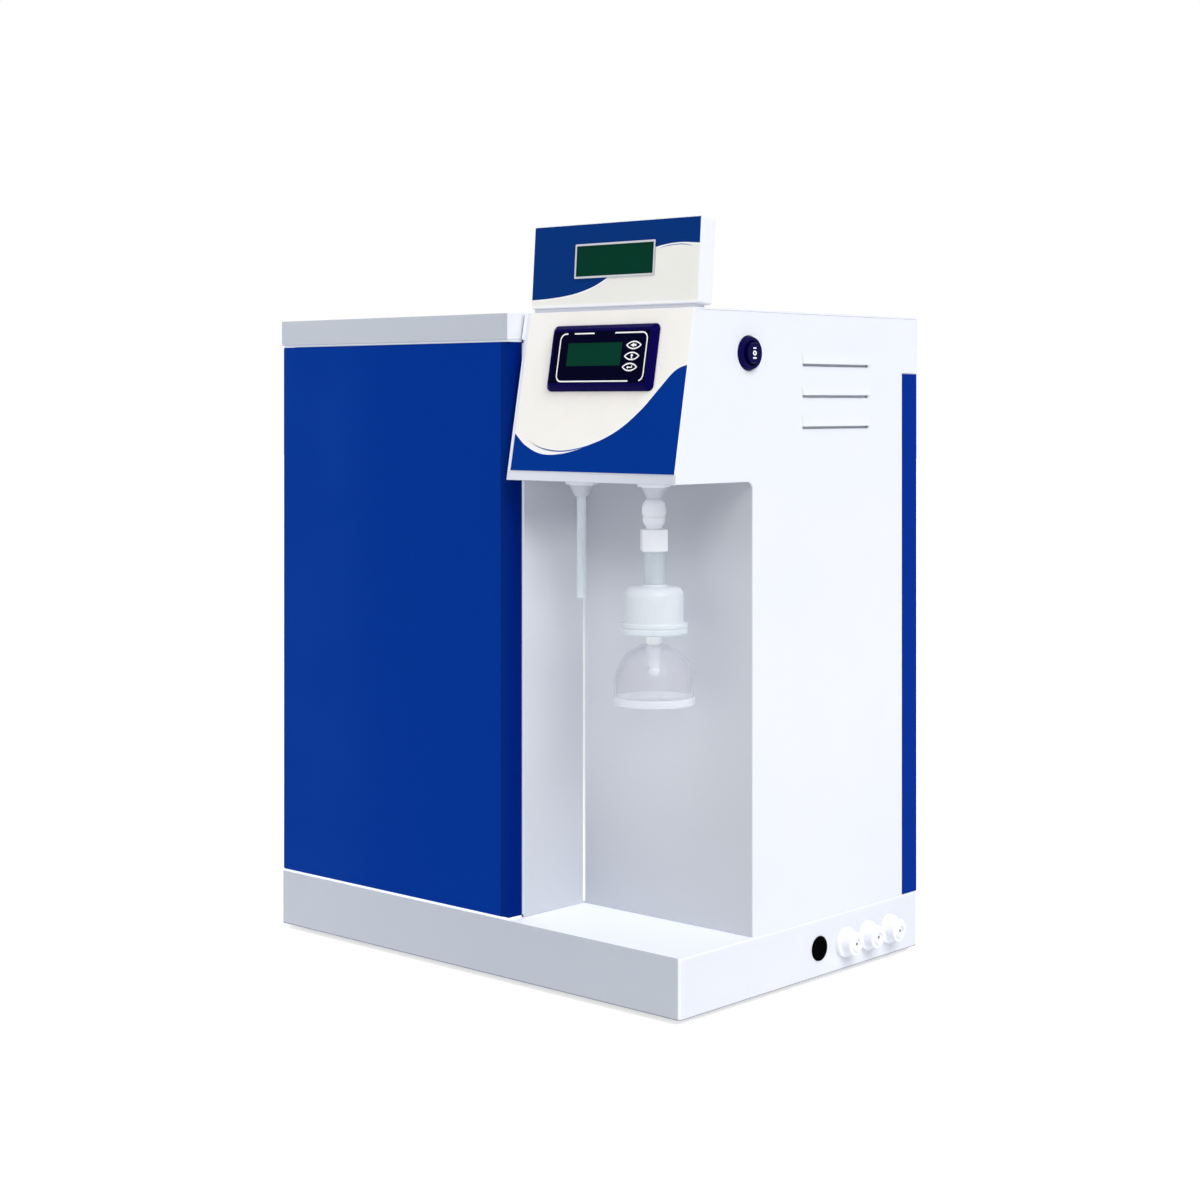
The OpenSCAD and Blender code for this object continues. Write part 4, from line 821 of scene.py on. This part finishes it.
# %% Fold the membrane
def pleats_recipe():
    tree = Recipe("pleats", ["Pleats"], ["Outer Radius", "Inner Radius", "Height"])
    star = tree.node("GeometryNodeCurveStar", {
        "Points": tree["Pleats"], "Inner Radius": tree["Inner Radius"],
        "Outer Radius": tree["Outer Radius"], "Twist": 0.0})
    disc = tree.node("GeometryNodeFillCurve", {"Curve": star}, mode="NGONS")
    walls = tree.node("GeometryNodeExtrudeMesh", {
        "Mesh": disc, "Offset": tree.way(Z=tree["Height"]), "Individual": False})
    floor = tree.node("GeometryNodeFlipFaces", {"Mesh": disc})
    both = tree.node("GeometryNodeJoinGeometry", {0: walls})
    tree.feed(both.socket.node.inputs[0], floor)
    return tree.done(tree.node("GeometryNodeMergeByDistance", {"Geometry": both, "Distance": 1e-6}))


pleated_disc = grown("membrane_pleats", pleats_recipe(), membrane, at_outlet(1, RIM_Z + 0.05), Pleats=48,
                     Outer_Radius=18.1 * MM, Inner_Radius=15.4 * MM, Height=21.0 * MM)
settle(pleated_disc, "cabinet", ["filter_membrane"])
print("pleats:", len(pleated_disc.data.polygons), "faces")

# %% Turn the filling bell
BELL_R, BELL_WALL, BELL_SKIRT, BELL_RIM = 27.0, 1.5, 14.0, 5.0
BELL_Z = 209.95
inner_r = BELL_R - BELL_WALL
outer_top = math.degrees(math.acos(6.2 / BELL_R))
inner_top = math.degrees(math.acos(4.8 / inner_r))
band_top, band_r = BELL_RIM - BELL_SKIRT, BELL_R + 0.4
BELL = [*arc(0, 0, BELL_R, outer_top, 0, 28), (BELL_R, band_top), (band_r, band_top - 0.3),
        (band_r, -BELL_SKIRT), (inner_r, -BELL_SKIRT), *arc(0, 0, inner_r, 0, inner_top, 28)]
turned("bell", BELL, at_outlet(1, BELL_Z), bell_plastic, ["filling_bell"], 0.25, 96)
print("bell mouth at", BELL_Z - BELL_SKIRT)

# %% [markdown]
# ## Ports, cable entry and feet
#
# Each of the three water ports is a union with a flange, and for transport a white stopper closes it; a grey
# dot on the stopper is painted shadow in place of its dimple. The cable entry is a rubber grommet with a
# membrane. The feet have a grip ring.

# %% Turn the ports, the cable entry and the feet
PORT = [(3.25, -16), (7, -16), (7, 0), (10.5, 0), (10.5, 3), (8, 3.3), (8, 10.5), (5.4, 10.5),
        (5.4, 12), (3.25, 12)]
STOPPER = [(0, 2), (3.2, 2), (3.2, 10.7), (0, 10.7)]
# Painted shadow: a grey dot on each stopper.
DOT = [(0, 10.7), (1.0, 10.7), (1.0, 10.9), (0, 10.9)]
row = sideways(205.5, 19) @ Matrix.Rotation(math.radians(90), 4, "Z")
PORTS = [("port_unions", lathe(soften(PORT, 0.5)), acetal, ["port_fittings"]),
         ("port_stoppers", lathe(soften(STOPPER, 0.3), sides=32), acetal, ()),
         ("port_dots", lathe(DOT, sides=24), pipe_shadow, ())]
for name, form, finish, stands_for in PORTS:
    in_rows(name, form, finish, row, stands_for, 3, 26.5)
GROMMET = [(5.5, -3.5), (8.1, -3.5), (8.1, -1.5), (7.4, -1.5), (7.4, 0), (8.7, 0), (8.5, 0.8), (7.8, 1.2),
           (6.0, 1.2), (5.5, 0.9)]
ENTRY = sideways(149.4, 19.6)
turned("entry_grommet", GROMMET, ENTRY, entry_black, ["cable_grommet"])
SKIN = [(0, 0.2), (5.6, 0.2), (5.6, 0.7), (2.4, 0.7), (2.2, 0.45), (2.0, 0.7), (0, 0.7)]
turned("entry_membrane", SKIN, ENTRY, entry_black, (), 0.05)
FOOT = [(2.2, 0), (13, 0), (13, -1), (12.6, -1.4), (12.6, -2.0), (13, -2.4), (12.2, -4), (11, -4),
        (10.6, -3.6), (9.6, -3.6), (9.2, -4), (6.6, -4), (6, -3.5), (6, -1.5), (2.2, -1.5)]
in_rows("foot_set", lathe(soften(FOOT, 0.4)), rubber, place(0, 135, 0), ["rubber_feet"],
        2, 340, 2, 210)
print("ports, entry and feet turned")

# %% [markdown]
# ## Screws of the rear cover
#
# The cross recess of a pan-head screw is cut with a Boolean node, once, and then copied.

# %% Cut and copy the screws
def screws_recipe():
    tree = Recipe("cross recess", [], ["Slot Length", "Slot Width", "Slot Depth", "Head Top"])
    cross = tree.node("GeometryNodeMeshBoolean", {}, operation="UNION", solver="EXACT")
    for length, width in (("Slot Length", "Slot Width"), ("Slot Width", "Slot Length")):
        size = tree.way(X=tree[length], Y=tree[width], Z=tree["Slot Depth"] * 2)
        cube = tree.node("GeometryNodeMeshCube", {"Size": size})
        lift = tree.way(Z=tree["Head Top"])
        cutter = tree.node("GeometryNodeTransform", {"Geometry": cube, "Translation": lift})
        tree.feed(cross.socket.node.inputs["Mesh 2"], cutter)
    halves = {"Mesh 1": tree.part(), "Mesh 2": cross}
    return tree.done(tree.node("GeometryNodeMeshBoolean", halves, operation="DIFFERENCE", solver="EXACT"))


SCREW = [(0, -24), (2, -24), (2, 0), (3.6, 0), (3.6, 0.5), (3.2, 1.15), (2.2, 1.5), (0, 1.6)]
cut_screw = grown("cut_screw", screws_recipe(), zinc, part=lathe(soften(SCREW, 0.2), sides=40),
                  Slot_Length=4.2 * MM, Slot_Width=0.8 * MM, Slot_Depth=0.9 * MM, Head_Top=1.6 * MM)
in_rows("cover_screws", taken_back(cut_screw), zinc, place(0, 270, 229.9, -90), ["rear_screws"],
        3, 174, 2, 347.8)
print("six screws cut")

# %% [markdown]
# ## Cartridges
#
# Behind the door hang three filter cartridges, each with a ring of grip ribs to turn it out with.

# %% Turn the cartridges and their ribs
BAY_X, CARTRIDGE_Y, MANIFOLD_Z = -77.2, 98.2, 390
foot_curve = arc(18, -226, 10, -90, 0, 8)
shoulder_curve = arc(16, -34, 12, 0, 62, 8)
CARTRIDGE = [(0, -236), *foot_curve, *shoulder_curve, (18, -12), (18, -0.1), (15, 0), (15, 10), (0, 10)]
hang, pitch = place(BAY_X, CARTRIDGE_Y, MANIFOLD_Z), 66
in_rows("cartridge_row", lathe(soften(CARTRIDGE, 0.8)), bay_plastic, hang, ["cartridges"],
        3, pitch)
rib = bmesh.new()
rib_place = Matrix.Translation((0, 0, -0.050)) @ Matrix.Diagonal((0.0014, 0.0022, 0.026, 1))
bmesh.ops.create_cube(rib, size=1, matrix=rib_place)
bmesh.ops.bevel(rib, geom=rib.edges[:], offset=0.0004, segments=2, affect="EDGES", profile=0.5)
ribs = grown("rib_ring", RING, bay_plastic, part=rib, Count=28, Radius=28 * MM)
in_rows("cartridge_ribs", taken_back(ribs), bay_plastic, hang, (), 3, pitch)
print("cartridges hang at", BAY_X, CARTRIDGE_Y)

# %% Finish the nodes that keep their own shape
KEPT = [
    (zinc, ["foot_screws", "foot_nuts", "upper_hinge_bracket", "door_pivots", "strike_plate"]),
    (nylon, ["pivot_bushes"]), (navy_film, ["meter_film"]), (pump_paint, ["booster_pump"]),
    (black_plastic, ["magnet_catch", "meter_case", "meter_clamps", "solenoid_valves"]),
    (board_green, ["meter_board", "control_board"]), (acetal, ["port_nuts", "outlet_nuts"]),
    (pipe_plastic, ["manifold", "housing_clips", "polishing_columns"]),
    (bay_plastic, ["membrane_housing"]), (power_case, ["power_supply"])]
for finish, kept in KEPT:
    for node in kept:
        nodes[node].data.materials.clear()
        nodes[node].data.materials.append(finish.material)
print(sum(len(kept) for finish, kept in KEPT), "nodes painted as they are")

# %% [markdown]
# ## Printed inks
#
# The two-tone curve, the frame round the meter's window and the marks on the keys are ink on film.
# Each is a closed sliver of mesh a few hundredths of a millimetre thick, so its edge stays crisp.

# %% Helpers that draw with ink
def leftwards(line, i):
    """The direction square to a line at one of its points."""
    ahead = (line[min(i + 1, len(line) - 1)] - line[max(i - 1, 0)]).normalized()
    return Vector((-ahead.y, ahead.x))


def ribbon(line, width, taper=0.0):
    """The outline of a line with a width, which thins towards both ends where it has a taper."""
    left, right = [], []
    for i, point in enumerate(line):
        share = min(1.0, min(i, len(line) - 1 - i) / (taper * len(line))) if taper else 1.0
        side = leftwards(line, i) * width / 2 * max(share, 0.05)
        left.append(point + side)
        right.append(point - side)
    return left + right[::-1]


def print_on(name, outlines, where, lift, finish, slot="cream_film", thick=0.05, body="cabinet"):
    """Prints closed outlines, in millimetres on a flat front, as slivers of ink."""
    form = bmesh.new()
    for outline in outlines:
        low = [form.verts.new((p[0] * MM, p[1] * MM, lift * MM)) for p in outline]
        high = [form.verts.new((p[0] * MM, p[1] * MM, (lift + thick) * MM)) for p in outline]
        form.faces.new(low[::-1])
        form.faces.new(high)
        for i in range(len(low)):
            j = (i + 1) % len(low)
            form.faces.new((low[i], low[j], high[j], high[i]))
    bmesh.ops.recalc_face_normals(form, faces=form.faces)
    bmesh.ops.triangulate(form, faces=[f for f in form.faces if len(f.verts) > 4])
    form.transform(where)
    return settle(new_piece(name, form, finish), body)


print("ink helpers ready")

# %% [markdown]
# A blue field fills the foot of the cream film. Its upper edge dips at the left and swings up to
# the right, with a white line along it and a fine stripe inside the curve.

# %% Print the head's two-tone curve
FILM, FILM_LEFT, FILM_RIGHT, FILM_FOOT = 0.6, 3.4, 151.0, 6.5
swing = flowing([(FILM_LEFT, 32.2), (15, 23.8), (31.4, 18.2), (52, 19.1), (75.8, 25.5), (97.4, 34.9),
                 (115.4, 48.3), (129.1, 62.6), (138.5, 72.5), (144.4, 76.6), (FILM_RIGHT, 78.7)])
field = [*swing, Vector((FILM_RIGHT, FILM_FOOT)), Vector((FILM_LEFT, FILM_FOOT))]
print_on("fascia_blue_field", [field], HEAD, FILM, blue_print)


def beside(line, widths):
    """A strip that lies on the upper side of a line and changes its width along it."""
    far = []
    for i, point in enumerate(line):
        at = i / (len(line) - 1) * (len(widths) - 1)
        k = min(int(at), len(widths) - 2)
        wide = widths[k] + (widths[k + 1] - widths[k]) * (at - k)
        far.append(point + leftwards(line, i) * wide)
    far[0].x = max(far[0].x, line[0].x)
    far[-1].x = min(far[-1].x, line[-1].x)
    return line + far[::-1]


print_on("fascia_white_line", [beside(swing, [1.2, 2.0, 2.2, 1.8, 1.2, 1.0, 1.0, 0.9, 0.8])],
         HEAD, FILM, white_print, thick=0.04)
stripe = flowing([(16.9, 27.6), (27.4, 23.0), (40.2, 20.7), (53.4, 20.7), (69.4, 23.6), (81.4, 27.6)])
print_on("fascia_pinstripe", [ribbon(stripe, 0.8, 0.3)], HEAD, FILM + 0.04, pale_print, thick=0.03)
print("the head's curve has", len(swing), "points")

# %% [markdown]
# The display carries the same curve the other way round: blue above, cream below.

# %% Print the display's two-tone curve
D_LEFT, D_RIGHT, D_FOOT, D_TOP, FOOT_TOP = 0.6, 150.4, 0.6, 56.9, 2.4
wave = flowing([(D_LEFT, 6.3), (16.3, 6.9), (32.5, 8.3), (45.7, 10.5), (58.7, 14.2), (69.5, 19.2), (84, 27),
                (99, 34), (114.2, 38.7), (132.1, 40.6), (D_RIGHT, 39.5)])
WINDOW = (76.4 - 35.3, 76.4 + 35.3, 31.6 - 11, 31.6 + 11)


def clear_of_window(outline):
    """The parts of an outline left and right of the window, above it and below it."""
    left, right, low, high = WINDOW

    def cut(points, axis, edge, keep_above):
        kept = []
        for a, b in zip(points, points[1:] + points[:1]):
            inside = (a[axis] >= edge) == keep_above or a[axis] == edge
            if inside:
                kept.append(a)
            if (a[axis] - edge) * (b[axis] - edge) < 0:
                kept.append(a + (b - a) * ((edge - a[axis]) / (b[axis] - a[axis])))
        return kept

    middle = cut(cut(outline, 0, left, True), 0, right, False)
    parts = [cut(outline, 0, left, False), cut(outline, 0, right, True),
             cut(middle, 1, high, True), cut(middle, 1, low, False)]
    return [part for part in parts if len(part) > 2]


sky = [*wave, Vector((D_RIGHT, D_TOP)), Vector((D_LEFT, D_TOP))]
print_on("display_blue_field", clear_of_window(sky), DISPLAY, 0.0, dull_blue_print)
line = [p + Vector((0, -0.55)) for p in wave]
print_on("display_white_line", clear_of_window(ribbon(line, 1.1)), DISPLAY, 0.0, white_print, thick=0.04)
hair = flowing([(114.6, 37.4), (122.3, 38.8), (131, 39.4), (139.5, 38.9), (145.6, 37.2)])
print_on("display_pinstripe", [ribbon(hair, 0.45, 0.3)], DISPLAY, 0.04, pale_print, thick=0.03)
print("the display's curve has", len(wave), "points")

# %% [markdown]
# The meter's film has a white frame with gaps, and every key has a white rim and a mark: an arrow
# to the left, an arrow up and a return sign.

# %% Print the meter's frame and the keys' marks
FILM_UP, corner = 5.1, 4.5
x0, x1, y0, y1 = -37.0, 41.1, -16.6, 16.2
west, east, south, north = x0 + corner, x1 - corner, y0 + corner, y1 - corner
right_run = [Vector((12.2, y1)), *arc(east, north, corner, 90, 0), *arc(east, south, corner, 0, -75)]
left_run = [Vector((28.2, y0)), *arc(west, south, corner, 270, 180), *arc(west, north, corner, 180, 90),
            Vector((-30.6, y1))]
top_run = [Vector((-24.6, y1)), Vector((-6.5, y1))]
runs = [ribbon(run, 0.95) for run in (right_run, left_run, top_run)]
print_on("meter_white_frame", runs, METER, FILM_UP, white_print, "navy_plastic")


def almond(w, h):
    """A key's outline: two arcs that meet in points."""
    r = (w * w / 4 + h * h / 4) / h
    half = math.degrees(math.asin(w / 2 / r))
    upper = arc(0, h / 2 - r, r, 90 + half, 90 - half, 10)
    return upper + arc(0, r - h / 2, r, -90 + half, -90 - half, 10)[1:-1]


def hollow(outer, inner):
    """Two halves that together make a ring between two outlines of as many points."""
    half = len(outer) // 2
    first = outer[:half + 1] + inner[:half + 1][::-1]
    second = outer[half:] + outer[:1] + inner[:1] + inner[half:][::-1]
    return [first, second]


KEY_TOP = 5.5
ARROW_LEFT = [(-3.2, 0), (0.2, 1.7), (0.2, 0.8), (2.4, 0.8), (2.4, -0.8), (0.2, -0.8), (0.2, -1.7)]
ARROW_UP = [(0, 2.1), (1.5, 0.1), (0.6, 0.1), (0.6, -1.9), (-0.6, -1.9), (-0.6, 0.1), (-1.5, 0.1)]
RETURN = [(-3.0, -0.2), (-1.4, 1.0), (-1.4, 0.2), (1.8, 0.2), (1.8, 1.3), (2.5, 1.3), (2.5, -0.6),
          (-1.4, -0.6), (-1.4, -1.4)]
KEYS = (("upper_key", ARROW_LEFT), ("middle_key", ARROW_UP), ("lower_key", RETURN))
for i, (body, mark) in enumerate(KEYS):
    here = METER @ Matrix.Translation(Vector((30.4 - 0.8 * i, 0.1 + 7.4 * (1 - i), 0)) * MM)
    rim = hollow(almond(13.6, 5.8), almond(11.2, 4.0))
    for part, outlines in (("_rim", rim), ("_mark", [[Vector(p) * 0.9 for p in mark]])):
        print_on(body + part, outlines, here, KEY_TOP, white_print, "key_plastic", body=body)
print("meter printed")

# %% [markdown]
# The rocker carries a dash, a ring and another dash. In the switch's own plane x points down and
# y to the right.

# %% Print the marks of the switch
def rectangle(x, y, w, h):
    """A rectangle round its centre."""
    return [Vector((x + i * w / 2, y + j * h / 2)) for i, j in ((-1, -1), (1, -1), (1, 1), (-1, 1))]


ROCKER_TOP = 5.2
oval = [Vector((p.x, p.y * 1.2)) for p in arc(0, 0, 1.7, 0, 360, 24)[:-1]]
hole = [p * 0.38 for p in oval]
marks = [rectangle(-3.3, 0, 0.9, 3.3), rectangle(3.3, 0, 1.1, 3.5), *hollow(oval, hole)]
print_on("rocker_marks", marks, SWITCH, ROCKER_TOP, white_print, "navy_plastic", body="rocker")
print("switch printed")

# %% [markdown]
# ## Small trims
#
# A bead of sealant closes the inner corner of the alcove, and pale strips of seal lie round the door; they
# glow faintly, painted light that keeps the gaps round the door from looking dark. A small strip closes the
# roof beside the head. Behind each louvre a baffle stops splashes.

# %% Lay the trims
bead = [Vector((ALCOVE_LEFT + x, ALCOVE_BACK - y)) for x, y in ((0, 0), (0, 1.1), (1.1, 0))]
sill = [rectangle(-77.8, 1.9, 242.4, 0.6), rectangle(43.1, 8.3, 0.6, 12.1)]
baffle, louvres = [rectangle(-2, 39.25, 9, 76)], (425.2, 403.6, 382.0)
ends = ((D_LEFT, D_FOOT), (D_RIGHT, D_FOOT), (D_RIGHT, FOOT_TOP), (D_LEFT, FOOT_TOP))
TRIMS = [
    ("alcove_bead", [bead], CABINET, 41.6, white_print, "white_plastic", 303),
    ("door_seal", [rectangle(44.65, 14.5, 1.8, 0.5)], CABINET, 42, header_foam_with_painted_light, "black_plastic", 398),
    ("door_sill", sill, CABINET, PLINTH_TOP + 0.02, seal_foam_with_painted_light, "black_plastic", 1.3),
    ("door_header", sill, CABINET, 440.7, header_foam_with_painted_light, "black_plastic", 1.25),
    ("roof_corner_strip", [rectangle(-1.5, 107.6, 2.9, 18.5)], HEAD, -0.6, white_print, "white_plastic", 0.4),
    *[("baffle_%d" % number, baffle, sideways(129.8, height), -1.75, inner_coat, "white_steel", 0.2)
      for number, height in enumerate(louvres)],
    ("display_white_foot", [[Vector(end) for end in ends]], DISPLAY, 0.0, white_print)]
for trim in TRIMS:
    print_on(*trim)
print("trims laid")

# %% [markdown]
# ## The floor, the lights and the camera
#
# The machine stands on a white sweep before a white background. The camera, reflections and clear
# plastics see the white directly, while the light that falls on the machine stays at a plain
# level, at which a colour renders about as it is written.

# %% Build the studio
def seen_by(graph, *rays):
    """1 for rays of these kinds and 0 for all others."""
    path = graph.tree.nodes.new("ShaderNodeLightPath")
    seen, *others = [Wire(graph, path.outputs["Is %s Ray" % ray]) for ray in rays]
    for other in others:
        seen = seen.larger(other)
    return seen


world = bpy.data.worlds.new("studio")
bpy.context.scene.world = world
world.use_nodes = True
world.node_tree.nodes.clear()
room = Graph(world.node_tree)
AMBIENT = 0.42
soft = room.node("ShaderNodeBackground", {"Color": (0.97, 0.98, 1.0, 1), "Strength": AMBIENT})
bright = room.node("ShaderNodeBackground", {"Color": (1, 1, 1, 1), "Strength": 1.0})
mixed = room.node("ShaderNodeMixShader", {
    0: seen_by(room, "Camera", "Glossy", "Transmission"), 1: soft, 2: bright})
room.feed(room.tree.nodes.new("ShaderNodeOutputWorld").inputs["Surface"], mixed)


def lamp(name, direction, strength, angle):
    """A large, far and soft lamp that shines from a direction."""
    light = bpy.data.lights.new(name, "SUN")
    light.energy, light.angle = strength, math.radians(angle)
    holder = bpy.data.objects.new(name, light)
    holder.rotation_euler = Vector(direction).to_track_quat("Z", "Y").to_euler()
    bpy.context.scene.collection.objects.link(holder)


lamp("key", (0.60, -0.24, 0.60), 2.1, 35)
lamp("front fill", (-0.35, -0.85, 0.25), 0.45, 60)
print("two lamps and a white room")

# %% Lay the floor
floor_mesh = bmesh.new()
bmesh.ops.create_grid(floor_mesh, x_segments=1, y_segments=1, size=12)
floor_finish = Finish("white floor", (0.9, 0.9, 0.91, 1), 0.9)
floor = new_piece("studio_floor", floor_mesh, floor_finish)
base = Wire(floor_finish, floor_finish.shader.outputs[0])
glow = floor_finish.node("ShaderNodeEmission", {"Color": (1, 1, 1, 1), "Strength": 0.62})
lit = floor_finish.node("ShaderNodeAddShader", {0: base, 1: glow})
mixed = floor_finish.node("ShaderNodeMixShader", {
    0: seen_by(floor_finish, "Camera", "Glossy"), 1: base, 2: lit})
floor_finish.feed(floor_finish.tree.nodes["Material Output"].inputs["Surface"], mixed)
print("floor laid")

# %% Set the camera
view = bpy.data.cameras.new("view")
view.sensor_width, view.lens, view.shift_y = 36.0, 65.67, -0.1643
camera = bpy.data.objects.new("view", view)
camera.location = (1.1052, -1.2090, 0.4023)
camera.rotation_euler = (math.radians(90), 0, math.radians(42.346))
bpy.context.scene.collection.objects.link(camera)
bpy.context.scene.camera = camera
bpy.context.scene.view_settings.view_transform = "Standard"
print("camera", [round(c, 3) for c in camera.location])
